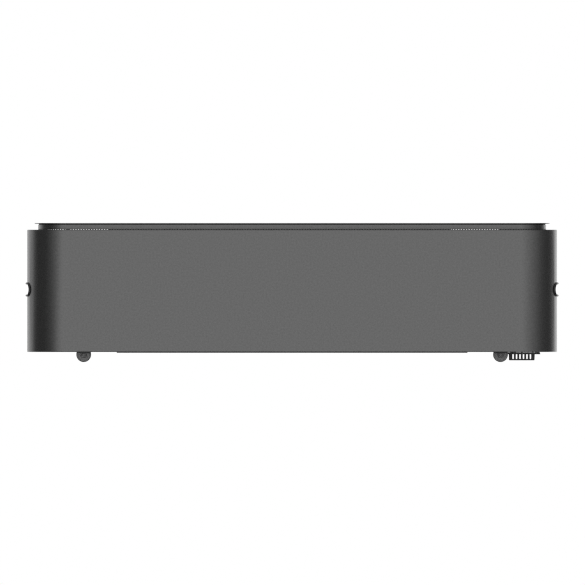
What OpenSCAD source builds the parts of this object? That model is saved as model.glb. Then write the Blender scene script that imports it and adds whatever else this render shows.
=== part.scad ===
// Portable baseboard convector heater.
// X runs along the length, the front faces -Y, +Z is up, and z = 0 is the floor.
// The origin is the middle of the footprint. All sizes are in millimetres.

/* [Casing] */
// Length of the casing, end to end
case_len = 1000; // [992:2:1080]
// Depth of the casing, front to back
case_depth = 180; // [178:1:196]
// Height of the casing wall
case_height = 230.9; // [224:0.1:250]
// Clear height between the floor and the casing
ground_gap = 19; // [18.6:0.1:20]
// Radius of the four upright corners
corner_r = 70; // [66:0.5:71]
// Thickness of the casing and base sheet
sheet = 1.2; // [0.8:0.1:1.5]
// Outside radius of the casing's rolled upper and lower edge
edge_r = 1.6; // [0.8:0.1:2.4]
// Width of the casing's inward lips
lip_w = 6; // [5.6:0.1:7]
// Distance from a corner's start to the nearest fixing along the lips
fix_side = 130; // [110:1:150]
// Thickness of the inner shields, end plates and deflector
thin_sheet = 0.8; // [0.6:0.1:1.2]

/* [Back panel] */
// Distance from a corner's start to the recess for the back panel
recess_side = 3; // [2:0.5:12]
// Height from the casing's lower edge to the recess
recess_low = 12.8; // [10:0.2:18]
// Distance from the recess to the casing's upper edge
recess_top = 13.6; // [12:0.2:20]
// Depth of the recess, to the panel's seat
recess_depth = 3.7; // [3.6:0.1:5]
// Width of the seat that the panel lies on
seat_w = 17; // [15:0.5:20]
// Number of screws along the panel's upper and lower edge
panel_screws = 3; // [2:1:5]
// Diameter of the back panel's screws
panel_screw_d = 3.2; // [2.6:0.1:3.6]
// Diameter of the panel screws' heads
panel_head_d = 6.8; // [6:0.1:7.4]
// Height of the panel screws' heads
panel_head_t = 1.8; // [1.4:0.1:2]
// Length of the panel screws under the panel's face
panel_grip = 7; // [5:0.5:10]

/* [Top] */
// Distance from the casing's face in to the neck's face
neck_inset = 20.7; // [19:0.1:22]
// Wall thickness of the moulded top grille
grille_wall = 2; // [1.6:0.1:2.6]
// Thickness of the slotted ledge
ledge_thick = 3; // [2.4:0.1:4]
// Drop of the ledge below the casing's upper edge
ledge_drop = 0.6; // [0.2:0.1:1]
// Height of the top plate's face above the casing
top_rise = 12.5; // [11.6:0.1:15]
// Thickness of the deck under the top plate
deck_t = 2.4; // [2.2:0.1:3]
// Height of the gasket round the deck's edge
gasket_t = 1.6; // [1.2:0.1:1.8]
// Width of the gasket
gasket_w = 1.6; // [1.2:0.1:2]
// Depth of the gasket behind the neck's face
gasket_inset = 1.2; // [0.8:0.1:1.6]
// Thickness of the top plate
plate_thick = 1.5; // [1:0.1:2]
// Overhang of the top plate past the neck
plate_overhang = 6.6; // [4:0.1:9]
// Spacing of the outlet slots
slot_pitch = 4.914; // [4.7:0.001:6]
// Width of an outlet slot
slot_w = 2; // [1.6:0.1:2.8]
// Height of an outlet slot above the casing's edge
slot_rise = 0.7; // [0.5:0.1:2.4]
// Width of the flange inside the neck's upper edge
neck_flange = 6; // [5:0.5:8]
// Distance from the casing's left end to the cross brace
brace_inset = 77; // [74:0.5:90]
// Width of the cross brace
brace_w = 9.6; // [8:0.1:14]

/* [Controls] */
// Distance from the casing's right end to the control box
box_inset = 32; // [31:0.5:36]
// Length of the control box
box_len = 79; // [77:0.5:82]
// Depth of the control box, front to back
box_depth = 92; // [90:0.5:94]
// Height of the control box
box_height = 33; // [28:0.5:40]
// Wall thickness of the control box
box_wall = 2; // [1.6:0.1:2.4]
// Length of the control fascia
fascia_len = 61; // [59:0.5:64]
// Depth of the control fascia
fascia_depth = 82; // [80:0.5:84]
// Diameter of a button
button_d = 11; // [9:0.5:12]
// Travel of a button
button_travel = 0.8; // [0.5:0.1:1]
// Spacing of the buttons in a row
button_pitch = 16.5; // [15.5:0.1:17]
// Length of the display window
window_len = 49; // [44:0.5:51]
// Depth of the display window
window_depth = 26; // [22:0.5:28]
// Depth of the circuit board below the top deck
board_drop = 12; // [11:0.5:13]
// Thickness of the circuit boards
board_t = 1.6; // [1.2:0.1:2]
// Height of the switches' plungers above the board
plunger_rise = 4.4; // [4:0.1:4.6]

/* [Side grips] */
// Height of the grips' centre above the floor
grip_z = 137; // [120:1:150]
// Length of a grip over its rim
grip_len = 98.4; // [92:0.2:104]
// Height of a grip over its rim
grip_height = 27; // [25:0.5:32]
// Width of the rounded rim
rim_w = 4.2; // [3.4:0.1:4.8]
// Height of the rounded rim above the casing
rim_rise = 3; // [2:0.1:4]
// Depth of the finger cup
cup_depth = 24; // [20:0.5:28]
// Wall thickness of the finger cup
cup_wall = 1.6; // [1.4:0.1:1.9]

/* [Base] */
// Distance from the casing's end to the air inlet grille
inlet_end = 169; // [168:1:180]
// Distance from the casing's face to the air inlet grille
inlet_side = 28; // [25:1:35]
// Drop of the inlet grille below the casing's lower edge
inlet_drop = 1.5; // [1:0.1:2]
// Spacing of the inlet slots
inlet_pitch = 11; // [10:0.5:14]
// Width of an inlet slot
inlet_slot_w = 6; // [4:0.5:7]
// Overlap of the inlet grille on the base pan
inlet_lap = 7; // [6.6:0.2:9]
// Distance from the inlet grille's end to its nearest screw
inlet_fix_side = 31; // [26:1:40]
// Diameter of the base's small screws and rivets
fix_d = 2.8; // [2.4:0.1:3]
// Diameter of their heads
fix_head_d = 5.2; // [4.4:0.1:5.6]
// Height of their heads
fix_head_t = 1.2; // [0.8:0.1:1.4]

/* [Casters] */
// Distance from the casing's end to the wheel centres
wheel_inset = 106.7; // [106:0.1:108]
// Distance from the casing's face to the swivel axes
caster_side = 38; // [36:0.5:39]
// Distance from the swivel axis to the wheel axle
caster_trail = 9.3; // [8.6:0.1:10]
// Diameter of a wheel
wheel_d = 28; // [27:0.5:29]
// Width of one wheel
wheel_w = 7.4; // [6.6:0.1:8]
// Diameter of the axle
axle_d = 4; // [3:0.1:5]
// Diameter of the swivel stem
stem_d = 6; // [5:0.1:6.6]
// Length of the swivel stem
stem_len = 42; // [38:1:50]
// Thickness of the web between the wheels
web_t = 9; // [8.4:0.1:9.6]
// Radius of the round well over each caster
well_r = 29.5; // [29:0.1:30]
// Height of the wells above the wheels
well_clear = 6; // [5.6:0.1:8]

/* [Room sensor] */
// Distance from the casing's end to the sensor cage's centre
cage_inset = 66.6; // [65:0.1:67]
// Length of the sensor cage at its rim
cage_len = 49.4; // [46:0.2:50]
// Depth of the sensor cage, front to back
cage_depth = 34; // [28:0.5:36]
// Height of the cage's underside above the floor
cage_clear = 3.3; // [3:0.1:5]
// Spacing of the cage's slots
cage_pitch = 6.55; // [6:0.05:7]
// Width of a slot in the cage
cage_slot_w = 2.7; // [2.2:0.1:4.2]
// Height of the slots' lower ends above the cage's floor
cage_sill = 0.6; // [0:0.1:1.5]
// Thickness of the cage's wall
cage_wall = 1.9; // [1.5:0.1:2.2]
// Drop of the cage's flange below the casing's lower edge
flange_drop = 0.3; // [0.2:0.1:1]
// Thickness of the cage's flange
flange_t = 4; // [3:0.1:4.4]

/* [Heating element] */
// Height of the element's axis above the floor
element_z = 66; // [62:1:80]
// Distance from the casing's end to an end plate
plate_inset = 164; // [163:1:166]
// Height of the end plates above the base pan
end_plate_h = 176; // [170:1:180]
// Size of the cut at an end plate's upper corners
end_plate_cut = 30; // [24:1:36]
// Height of the thermal cutout above the base pan
cutout_rise = 72; // [66:1:76]
// Length of a bush on the outside of its end plate
bush_out = 8; // [6:0.5:10]
// Thickness of a bush's flange
bush_flange = 4; // [3:0.5:5]
// Diameter of the element rod
rod_d = 8; // [6.5:0.1:10]
// Depth of a fin, front to back
fin_depth = 70; // [50:1:90]
// Height of a fin
fin_height = 60; // [40:1:64]
// Spacing of the fins
fin_pitch = 8; // [7:0.5:12]
// Thickness of a fin
fin_t = 0.8; // [0.6:0.1:1.2]
// Gap between the casing's wall and the heat shields
shield_gap = 10; // [8:0.5:14]
// Distance from the casing's left end to the air deflector
deflector_left = 154.4; // [140:0.1:180]
// Distance from the casing's right end to the air deflector
deflector_right = 200.1; // [180:0.1:220]
// Height of the air deflector
deflector_h = 54; // [46:1:56]

/* [Supply] */
// Bore of the cord gland
gland_bore = 7.2; // [6:0.1:8]
// Distance from the casing's right end to the cord gland
gland_inset = 120; // [108:1:130]
// Height of the cord gland above the floor
gland_z = 64; // [62:1:80]
// Width of the power board, front to back
power_w = 92; // [84:1:96]
// Height of the power board
power_h = 76; // [72:1:84]
// Height of the power board above the base pan
power_low = 92; // [90:1:96]
// Length of the board's standoffs
standoff_len = 8; // [6:0.5:10]
// Height of a relay on the power board
relay_h = 28; // [20:1:30]

/* [Hidden] */
$fn = 64;

// Clearances
seat = 0.3;
running = 0.05;
over = 1;

// Colours
charcoal = [0.36, 0.36, 0.36];
dark_plastic = [0.2, 0.2, 0.2];
zinc = [0.7, 0.71, 0.72];
bright_steel = [0.8, 0.8, 0.82];

// Heights of the casing
case_z0 = ground_gap;
case_z1 = ground_gap + case_height;
ledge_z1 = case_z1 - ledge_drop;
ledge_z0 = ledge_z1 - ledge_thick;
lip_z = ledge_z0 - sheet;
pan_z = case_z0 + sheet;
pan_top = pan_z + sheet;
top_z = case_z1 + top_rise;
deck_z1 = top_z - plate_thick;
deck_z0 = deck_z1 - deck_t;
gasket_in = neck_inset + gasket_inset + gasket_w;

// Plan of the corners
flat_x = case_len / 2 - corner_r;
flat_y = case_depth / 2 - corner_r;
neck_r = corner_r - neck_inset;
neck_in = neck_inset + grille_wall;

// A block between two corners
module block(a, b) {
  translate(a) cube(b - a);
}

// A block that is as long on both sides of the middle, in X and in Y
module mid_block(hx, hy, z0, z1) {
  block([-hx, -hy, z0], [hx, hy, z1]);
}

module rounded_plan(len, dep, r) {
  square([len - 2 * r, dep], center = true);
  square([len, dep - 2 * r], center = true);
  for (sx = [-1, 1], sy = [-1, 1])
    translate([sx * (len / 2 - r), sy * (dep / 2 - r)]) circle(r);
}

// The casing's plan, a distance in from its face, between two heights
module slab(inset, z0, z1) {
  translate([0, 0, z0]) linear_extrude(z1 - z0)
    rounded_plan(case_len - 2 * inset, case_depth - 2 * inset, corner_r - inset);
}

// A rod along Y, centred at x, z
module y_rod(r, x, z, y0, y1) {
  translate([x, y1, z]) rotate([90, 0, 0]) cylinder(r = r, h = y1 - y0);
}

// A rod along X, centred at y, z
module x_rod(r, y, z, x0, x1) {
  translate([x0, y, z]) rotate([0, 90, 0]) cylinder(r = r, h = x1 - x0);
}

// A profile of [y, z] points, carried along X
module x_profile(points, x0, x1) {
  translate([x0, 0, 0]) rotate([90, 0, 90]) linear_extrude(x1 - x0) polygon(points);
}

// A profile of [x, z] points, carried along Y
module y_profile(points, y0, y1) {
  translate([0, y1, 0]) rotate([90, 0, 0]) linear_extrude(y1 - y0) polygon(points);
}

// Casing: one wrapped sheet with an inward lip at each edge, a recess at the back
// and a hole in each end for the grip
recess_x = flat_x - recess_side;
recess_z0 = case_z0 + recess_low;
recess_z1 = case_z1 - recess_top;
seat_y = case_depth / 2 - recess_depth;
panel_y = seat_y + sheet;

// Screws of the back panel, as [x, z]
strip = sheet + seat_w / 2;
side_screw_z = [for (k = [1:3]) recess_z0 + k * (recess_z1 - recess_z0) / 4];
row_screw_x = [for (k = [1:panel_screws]) (2 * k / (panel_screws + 1) - 1) * recess_x];
rear_screw_at = concat(
  [for (sx = [-1, 1], z = side_screw_z) [sx * (recess_x - strip), z]],
  [for (x = row_screw_x, z = [recess_z0 + strip, recess_z1 - strip]) [x, z]]
);
rear_screw_r = panel_screw_d / 2;

// Fixings along the casing's lips, as [x, y]
lip_fix_y = case_depth / 2 - sheet - lip_w / 2;
lip_fix_x = flat_x - fix_side;
lip_fix_at = [for (x = [-1, -1 / 3, 1 / 3, 1], sy = [-1, 1]) [x * lip_fix_x, sy * lip_fix_y]];
lip_fix_r = fix_d / 2;

// Grips: half sizes of the cup's outside, and of the hole that it passes through
cup_out_y = grip_len / 2 - rim_w + cup_wall;
cup_out_z = grip_height / 2 - rim_w + cup_wall;

module grip_hole() {
  hy = cup_out_y + seat;
  hz = cup_out_z + seat;
  translate([case_len / 2 - cup_depth, 0, grip_z]) rotate([90, 0, 90])
    linear_extrude(cup_depth + over) {
      square([2 * (hy - hz), 2 * hz], center = true);
      for (s = [-1, 1]) translate([s * (hy - hz), 0]) circle(hz);
    }
}

module back_recess() {
  difference() {
    block([-recess_x, seat_y - sheet, recess_z0], [recess_x, case_depth / 2, recess_z1]);
    block([-recess_x + sheet, seat_y, recess_z0 + sheet],
          [recess_x - sheet, case_depth / 2 + over, recess_z1 - sheet]);
    block([-recess_x + sheet + seat_w, seat_y - sheet - over, recess_z0 + sheet + seat_w],
          [recess_x - sheet - seat_w, seat_y + over, recess_z1 - sheet - seat_w]);
  }
}

// What a rolled edge leaves off: a section outside its quarter round, whose points lie on the
// arc, carried along each side and round each corner of the casing at the height z
module edge_nick(reach) {
  steps = 4;
  polygon(concat([[reach + over, -over], [reach + over, edge_r]],
    [for (i = [0:steps]) let (a = 90 * i / steps) [reach - edge_r * (1 - cos(a)), edge_r * (1 - sin(a))]],
    [[reach - edge_r, -over]]));
}

module edge_roll(z, turned) {
  far = corner_r + 2 * over;
  translate([0, 0, z]) mirror([0, 0, turned]) {
    for (s = [0, 1]) mirror([0, s, 0]) translate([-flat_x, 0, 0]) rotate([90, 0, 90])
      linear_extrude(2 * flat_x) edge_nick(case_depth / 2);
    for (s = [0, 1]) mirror([s, 0, 0]) translate([0, flat_y, 0]) rotate([90, 0, 0])
      linear_extrude(2 * flat_y) edge_nick(case_len / 2);
    for (sx = [-1, 1], sy = [-1, 1]) translate([sx * flat_x, sy * flat_y, 0]) intersection() {
      rotate_extrude() edge_nick(corner_r);
      block([min(0, sx * far), min(0, sy * far), -far], [max(0, sx * far), max(0, sy * far), far]);
    }
  }
}

module outer_casing() {
  color(charcoal) difference() {
    union() {
      difference() {
        slab(0, case_z0, case_z1);
        slab(sheet, pan_z, lip_z);
        slab(sheet, ledge_z0, case_z1 + over);
        slab(sheet + lip_w, case_z0 - over, case_z1 + over);
        block([-recess_x, seat_y - sheet, recess_z0], [recess_x, case_depth, recess_z1]);
      }
      back_recess();
    }
    edge_roll(case_z0, 0);
    edge_roll(case_z1, 1);
    grip_hole();
    mirror([1, 0, 0]) grip_hole();
    for (p = rear_screw_at) y_rod(rear_screw_r + seat / 2, p[0], p[1], seat_y - sheet - over, seat_y + over);
    for (p = lip_fix_at) translate([p[0], p[1], case_z0 - over])
      cylinder(r = lip_fix_r + seat / 2, h = case_height + 2 * over);
  }
}

module rear_panel() {
  hx = recess_x - sheet - seat;
  color(charcoal) difference() {
    block([-hx, seat_y, recess_z0 + sheet + seat], [hx, panel_y, recess_z1 - sheet - seat]);
    for (p = rear_screw_at) y_rod(rear_screw_r + seat / 2, p[0], p[1], seat_y - over, panel_y + over);
    y_rod(gland_r + seat / 2, gland_x, gland_z, seat_y - over, panel_y + over);
  }
}

module rear_screws() {
  cross = 0.6 * panel_head_d / 2;
  blade = cross / 4;
  half_t = panel_head_t / 2;
  color(bright_steel) for (p = rear_screw_at) difference() {
    union() {
      y_rod(panel_head_d / 2, p[0], p[1], panel_y, panel_y + panel_head_t);
      y_rod(rear_screw_r, p[0], p[1], panel_y - panel_grip, panel_y + half_t);
    }
    for (t = [[blade, cross], [cross, blade]])
      block([p[0] - t[0], panel_y + half_t, p[1] - t[1]],
            [p[0] + t[0], panel_y + panel_head_t + over, p[1] + t[1]]);
  }
}

// Outlet slots, square to the neck all the way round: each is [x, y, turn] of the slot's
// line, and the cutter is one toothed plan whose body lies in the neck's hollow
slot_in = neck_r - grille_wall - over;
slot_side = 0.8;
slot_out = corner_r - sheet - lip_w - slot_side;
slots_long = floor(flat_x / slot_pitch);
slots_corner = round(PI / 2 * neck_r / slot_pitch);
slots_end = max(1, round(2 * flat_y / slot_pitch));
function slot_row(sx, sy, turn) =
  [for (k = [-slots_long:slots_long]) [sx * k * slot_pitch, sy * flat_y, turn]];
function slot_corner(sx, sy, turn) =
  [for (k = [0:slots_corner - 1]) [sx * flat_x, sy * flat_y, turn + (k + 0.5) * 90 / slots_corner]];
function slot_end(s, turn) =
  [for (k = [0:slots_end - 1]) [s * flat_x, s * ((k + 0.5) * 2 * flat_y / slots_end - flat_y), turn]];
slot_at = concat(
  slot_end(1, 0), slot_corner(1, 1, 0), slot_row(-1, 1, 90), slot_corner(-1, 1, 90),
  slot_end(-1, 180), slot_corner(-1, -1, 180), slot_row(1, -1, 270), slot_corner(1, -1, 270)
);

module outlet_slots() {
  tooth = [[slot_in, -slot_w / 2], [slot_out, -slot_w / 2], [slot_out, slot_w / 2], [slot_in, slot_w / 2]];
  translate([0, 0, ledge_z0 - over]) linear_extrude(case_z1 + slot_rise - ledge_z0 + over)
    polygon([for (s = slot_at, t = tooth)
      [s[0] + t[0] * cos(s[2]) - t[1] * sin(s[2]), s[1] + t[0] * sin(s[2]) + t[1] * cos(s[2])]]);
}

// Controls, set in the right end of the top
box_x1 = case_len / 2 - box_inset;
box_x0 = box_x1 - box_len;
box_x = (box_x0 + box_x1) / 2;
box_corner_r = 8;
fascia_r = 4;
deck_edge = 5;

module control_prism(len, dep, r, z0, z1) {
  translate([box_x, 0, z0]) linear_extrude(z1 - z0) rounded_plan(len, dep, r);
}

module top_grille() {
  hole_depth = ledge_z1 - ledge_z0 - over;
  color(dark_plastic) difference() {
    union() {
      slab(sheet + seat, ledge_z0, ledge_z1);
      slab(neck_inset, ledge_z0, deck_z1 - gasket_t);
      slab(gasket_in + seat / 2, ledge_z0, deck_z1);
    }
    slab(neck_in, ledge_z0 - over, deck_z0);
    intersection() {
      slab(neck_in + neck_flange, deck_z0 - over, deck_z1 + over);
      block([-case_len, -case_depth, deck_z0 - over], [box_x0 - deck_edge, case_depth, deck_z1 + over]);
    }
    control_prism(fascia_len + 2 * seat, fascia_depth + 2 * seat, fascia_r, deck_z0 - over, deck_z1 + over);
    outlet_slots();
    for (p = lip_fix_at) translate([p[0], p[1], ledge_z0 - over])
      cylinder(r = lip_fix_r + running, h = hole_depth + over);
  }
}

module grille_screws() {
  shank = ledge_z1 - lip_z - over - seat + fix_head_t / 2;
  color(bright_steel) for (p = lip_fix_at) translate([p[0], p[1], lip_z - fix_head_t]) {
    cylinder(d = fix_head_d, h = fix_head_t);
    translate([0, 0, fix_head_t / 2]) cylinder(r = lip_fix_r, h = shank);
  }
}

// Gasket in the rebate round the deck, which shows as a dark line under the top plate
module plate_gasket() {
  color([0.1, 0.1, 0.1]) difference() {
    slab(neck_inset + gasket_inset, deck_z1 - gasket_t, deck_z1);
    slab(gasket_in, deck_z1 - gasket_t - over, deck_z1 + over);
  }
}

module top_plate() {
  color(charcoal) difference() {
    slab(neck_inset - plate_overhang, deck_z1, top_z);
    control_prism(fascia_len + 2 * seat, fascia_depth + 2 * seat, fascia_r, deck_z1 - over, top_z + over);
  }
}

// Cross brace under the top plate: a strap with a tab at each end
module top_brace() {
  x0 = -case_len / 2 + brace_inset - brace_w / 2;
  hy = case_depth / 2 - neck_in - seat;
  y_tab = hy - sheet;
  color(dark_plastic) translate([x0, 0, 0]) {
    block([0, -hy, deck_z0 - sheet], [brace_w, hy, deck_z0]);
    for (s = [0, 1]) mirror([0, s, 0])
      block([0, y_tab, ledge_z0], [brace_w, hy, deck_z0 - sheet / 2]);
  }
}

// Buttons: two rows in front of the display window
row_y = [-29, -10];
window_y = 20;
button_at = [
  [box_x - button_pitch / 2, row_y[0]],
  [box_x + button_pitch / 2, row_y[0]],
  [box_x - button_pitch, row_y[1]],
  [box_x, row_y[1]],
  [box_x + button_pitch, row_y[1]]
];
board_z0 = deck_z0 - board_drop;
board_z1 = board_z0 + board_t;
switch_z = board_z1 + plunger_rise;
board_side = 4;
window_t = 1.6;
window_lap = 2;

module control_fascia() {
  fit = running + 0.1;
  color(dark_plastic) difference() {
    control_prism(fascia_len, fascia_depth, fascia_r - seat, deck_z0, top_z);
    for (p = button_at) translate([p[0], p[1], deck_z0 - over])
      cylinder(r = button_d / 2 + fit, h = top_z - deck_z0 + 2 * over);
    translate([box_x, window_y, 0]) {
      mid_block(window_len / 2 + fit, window_depth / 2 + fit, top_z - window_t, top_z + over);
      mid_block(window_len / 2 - window_lap, window_depth / 2 - window_lap, deck_z0 - over, top_z);
    }
  }
}

module display_window() {
  color([0.08, 0.08, 0.1, 0.8]) translate([box_x, window_y, 0])
    mid_block(window_len / 2, window_depth / 2, top_z - window_t, top_z);
}

module button(p) {
  flange_t = 1.2;
  flange_r = button_d / 2 + 1.2;
  stem_r = 2;
  flange_z = deck_z0 - running - flange_t;
  color([0.3, 0.3, 0.31]) translate([p[0], p[1], 0]) {
    translate([0, 0, flange_z]) cylinder(r = button_d / 2, h = top_z - flange_z);
    translate([0, 0, flange_z]) cylinder(r = flange_r, h = flange_t);
    translate([0, 0, switch_z + button_travel + 0.1])
      cylinder(r = stem_r, h = flange_z - switch_z - button_travel);
  }
}

post_at = [for (sx = [-1, 1], sy = [-1, 1]) [box_x + sx * (box_len / 2 - 8), sy * (box_depth / 2 - 7)]];
post_r = 3;
wire_hole = [20, 12];

module control_box() {
  z0 = deck_z0 - box_height;
  color(dark_plastic) {
    difference() {
      control_prism(box_len, box_depth, box_corner_r, z0, deck_z0);
      control_prism(box_len - 2 * box_wall, box_depth - 2 * box_wall, box_corner_r - box_wall,
                    z0 + box_wall, deck_z0 - box_wall);
      control_prism(fascia_len - 2 * window_lap, fascia_depth - 2 * window_lap, fascia_r,
                    deck_z0 - box_wall - over, deck_z0 + over);
      translate([box_x, 0, z0]) mid_block(wire_hole[0] / 2, wire_hole[1] / 2, -over, box_wall + over);
    }
    for (p = post_at) translate([p[0], p[1], z0 + box_wall / 2])
      cylinder(r = post_r, h = board_z0 - z0 - box_wall / 2);
  }
}

// Board with a tact switch under each button and the display module
module control_board() {
  switch_half = 3;
  switch_h = plunger_rise - 1;
  plunger_r = 1.7;
  color([0.1, 0.35, 0.2]) {
    translate([box_x, 0, 0])
      mid_block(box_len / 2 - board_side, box_depth / 2 - board_side, board_z0, board_z1);
    translate([box_x, window_y, 0])
      mid_block(window_len / 2 - board_side, window_depth / 2 - board_side, board_z1 - seat,
                deck_z0 - box_wall - seat);
    for (p = button_at) translate([p[0], p[1], 0]) {
      mid_block(switch_half, switch_half, board_z1 - seat, board_z1 + switch_h);
      translate([0, 0, board_z1]) cylinder(r = plunger_r, h = switch_z - board_z1);
    }
  }
}

// Side grip: a drafted finger cup and its rounded rim, which follows the casing's
// corner. The path is a stadium, and each ring lies d inside it and h off the casing.
arc_steps = 20;
line_steps = 16;
function casing_turn(y) = abs(y) <= flat_y ? 0 : asin((abs(y) - flat_y) / corner_r);
function casing_x(y) = flat_x + corner_r * cos(casing_turn(y));
function stadium(d) = let (r = grip_height / 2 - d, c = (grip_len - grip_height) / 2) concat(
  [for (i = [0:arc_steps / 2 - 1]) let (a = 180 * i / arc_steps) [c + r * cos(a), r * sin(a)]],
  [for (i = [0:line_steps - 1]) [c - 2 * c * i / line_steps, r]],
  [for (i = [0:arc_steps - 1]) let (a = 90 + 180 * i / arc_steps) [-c + r * cos(a), r * sin(a)]],
  [for (i = [0:line_steps - 1]) [-c + 2 * c * i / line_steps, -r]],
  [for (i = [0:arc_steps / 2 - 1]) let (a = -90 + 180 * i / arc_steps) [c + r * cos(a), r * sin(a)]]
);
function ring_on_casing(d, h) = [for (p = stadium(d)) let (a = casing_turn(p[0]))
  [casing_x(p[0]) + h * cos(a), p[0] + sign(p[0]) * h * sin(a), grip_z + p[1]]];
function ring_at(d, x) = [for (p = stadium(d)) [x, p[0], grip_z + p[1]]];

module grip() {
  rim_steps = 6;
  off = 0.1;
  draft = 1;
  floor_x = case_len / 2 - cup_depth;
  rings = concat(
    [ring_at(rim_w - cup_wall + draft, floor_x - cup_wall), ring_on_casing(rim_w - cup_wall, off)],
    [for (j = [0:rim_steps]) let (a = 180 * j / rim_steps)
      ring_on_casing(rim_w / 2 * (1 - cos(a)), off + rim_rise * sin(a))],
    [ring_at(rim_w + draft, floor_x)]
  );
  n = len(rings[0]);
  last = len(rings) - 1;
  color(dark_plastic) polyhedron(
    points = [for (ring = rings, p = ring) p],
    faces = concat(
      [[for (i = [0:n - 1]) i]],
      [for (j = [0:last - 1], i = [0:n - 1]) [j * n + i, (j + 1) * n + i, (j + 1) * n + (i + 1) % n]],
      [for (j = [0:last - 1], i = [0:n - 1]) [j * n + i, (j + 1) * n + (i + 1) % n, j * n + (i + 1) % n]],
      [[for (i = [0:n - 1]) last * n + n - 1 - i]]
    )
  );
}

// Casters
wheel_r = wheel_d / 2;
caster_x = case_len / 2 - wheel_inset - caster_trail;
caster_y = case_depth / 2 - caster_side;
well_top = wheel_d + well_clear;
stem_z0 = wheel_r - 2;
socket_r = stem_d / 2 + 4;
socket_z0 = well_top - 2;
caster_at = [for (sx = [-1, 1], sy = [-1, 1]) [sx * caster_x, sy * caster_y]];

// Rivets and screws of the base
inlet_len = case_len - 2 * inlet_end;
inlet_depth = case_depth - 2 * inlet_side;
inlet_fix_x = inlet_len / 2 - inlet_fix_side;
inlet_fix_y = inlet_depth / 2 - inlet_lap / 2;
inlet_fix_at = [for (x = [-1, -1 / 3, 1 / 3, 1], sy = [-1, 1]) [x * inlet_fix_x, sy * inlet_fix_y]];
inlet_fix_r = fix_d / 2 - 0.1;
cage_x = case_len / 2 - cage_inset;
grommet_r = 3;

module base_pan() {
  color(zinc) difference() {
    union() {
      slab(sheet + seat, pan_z, pan_top);
      for (p = caster_at) translate([p[0], p[1], pan_z])
        cylinder(r = well_r + sheet, h = well_top + sheet - pan_z);
    }
    for (p = caster_at) translate([p[0], p[1], pan_z - over]) {
      cylinder(r = well_r, h = well_top - pan_z + over);
      cylinder(r = socket_r + seat, h = well_top + 2 * over);
    }
    mid_block(inlet_len / 2 - inlet_lap, inlet_depth / 2 - inlet_lap, pan_z - over, pan_top + over);
    for (p = lip_fix_at) translate([p[0], p[1], pan_z - over])
      cylinder(r = lip_fix_r + seat / 2, h = sheet + 2 * over);
    for (p = inlet_fix_at) translate([p[0], p[1], pan_z - over])
      cylinder(r = inlet_fix_r + seat / 2, h = sheet + 2 * over);
    translate([cage_x, 0, pan_z - over]) cylinder(r = grommet_r + seat / 2, h = sheet + 2 * over);
  }
}

module pan_rivets() {
  color(bright_steel) for (p = lip_fix_at) translate([p[0], p[1], 0]) {
    translate([0, 0, case_z0]) cylinder(r = lip_fix_r, h = pan_top - case_z0 + fix_head_t / 2);
    translate([0, 0, pan_top]) cylinder(d = fix_head_d, h = fix_head_t);
  }
}

// Air inlet: a moulded grille with two rows of slots, laid over the pan's opening
module inlet_grille() {
  z0 = case_z0 - inlet_drop;
  rim_h = 4;
  rim_t = 2;
  hx = inlet_len / 2 - inlet_lap - seat;
  hy = inlet_depth / 2 - inlet_lap - seat;
  bridge = 6;
  slots = floor((hx - rim_t - bridge) / inlet_pitch);
  w = inlet_slot_w / 2;
  comb = concat(
    [for (k = [-slots:slots], t = [[-w, z0 - over], [-w, pan_z + over], [w, pan_z + over], [w, z0 - over]])
      [k * inlet_pitch + t[0], t[1]]],
    [[hx, z0 - 2 * over], [-hx, z0 - 2 * over]]
  );
  color(dark_plastic) difference() {
    union() {
      translate([0, 0, z0]) linear_extrude(pan_z - z0) rounded_plan(inlet_len, inlet_depth, 5);
      difference() {
        mid_block(hx, hy, pan_z - seat, pan_top + rim_h);
        mid_block(hx - rim_t, hy - rim_t, pan_z - over, pan_top + rim_h + over);
      }
    }
    for (s = [0, 1]) mirror([0, s, 0]) y_profile(comb, bridge / 2, hy - rim_t - bridge / 2);
    for (p = inlet_fix_at) translate([p[0], p[1], z0 - over]) {
      cylinder(r = inlet_fix_r + seat / 2, h = pan_z - z0 + 2 * over);
      cylinder(r = fix_head_d / 2 + seat, h = fix_head_t + seat + over);
    }
  }
}

module inlet_screws() {
  z0 = case_z0 - inlet_drop + seat;
  color(bright_steel) for (p = inlet_fix_at) translate([p[0], p[1], z0]) {
    cylinder(d = fix_head_d, h = fix_head_t);
    translate([0, 0, fix_head_t / 2]) cylinder(r = inlet_fix_r, h = pan_top - z0 + 2);
  }
}

module caster_sockets() {
  flange_r = socket_r + 3;
  flange_t = 2;
  top = stem_z0 + stem_len + 2;
  color(dark_plastic) for (p = caster_at) translate([p[0], p[1], 0]) difference() {
    union() {
      translate([0, 0, socket_z0]) cylinder(r = socket_r, h = top + 2 - socket_z0);
      translate([0, 0, well_top + sheet]) cylinder(r = flange_r, h = flange_t);
    }
    translate([0, 0, socket_z0 - over]) cylinder(r = stem_d / 2 + running, h = top - socket_z0 + over);
  }
}

// Places a caster of the left or right side, at the front or the back
module at_caster(sx, sy) {
  translate([sx * caster_x, sy * caster_y, 0]) mirror([sx < 0 ? 1 : 0, 0, 0]) children();
}

module caster_stem(sx, sy) {
  color(bright_steel) at_caster(sx, sy) translate([0, 0, stem_z0]) cylinder(r = stem_d / 2, h = stem_len);
}

module axle(sx, sy) {
  half = web_t / 2 + seat + wheel_w - 2.2;
  color(bright_steel) at_caster(sx, sy) y_rod(axle_d / 2, caster_trail, wheel_r, -half, half);
}

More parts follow.
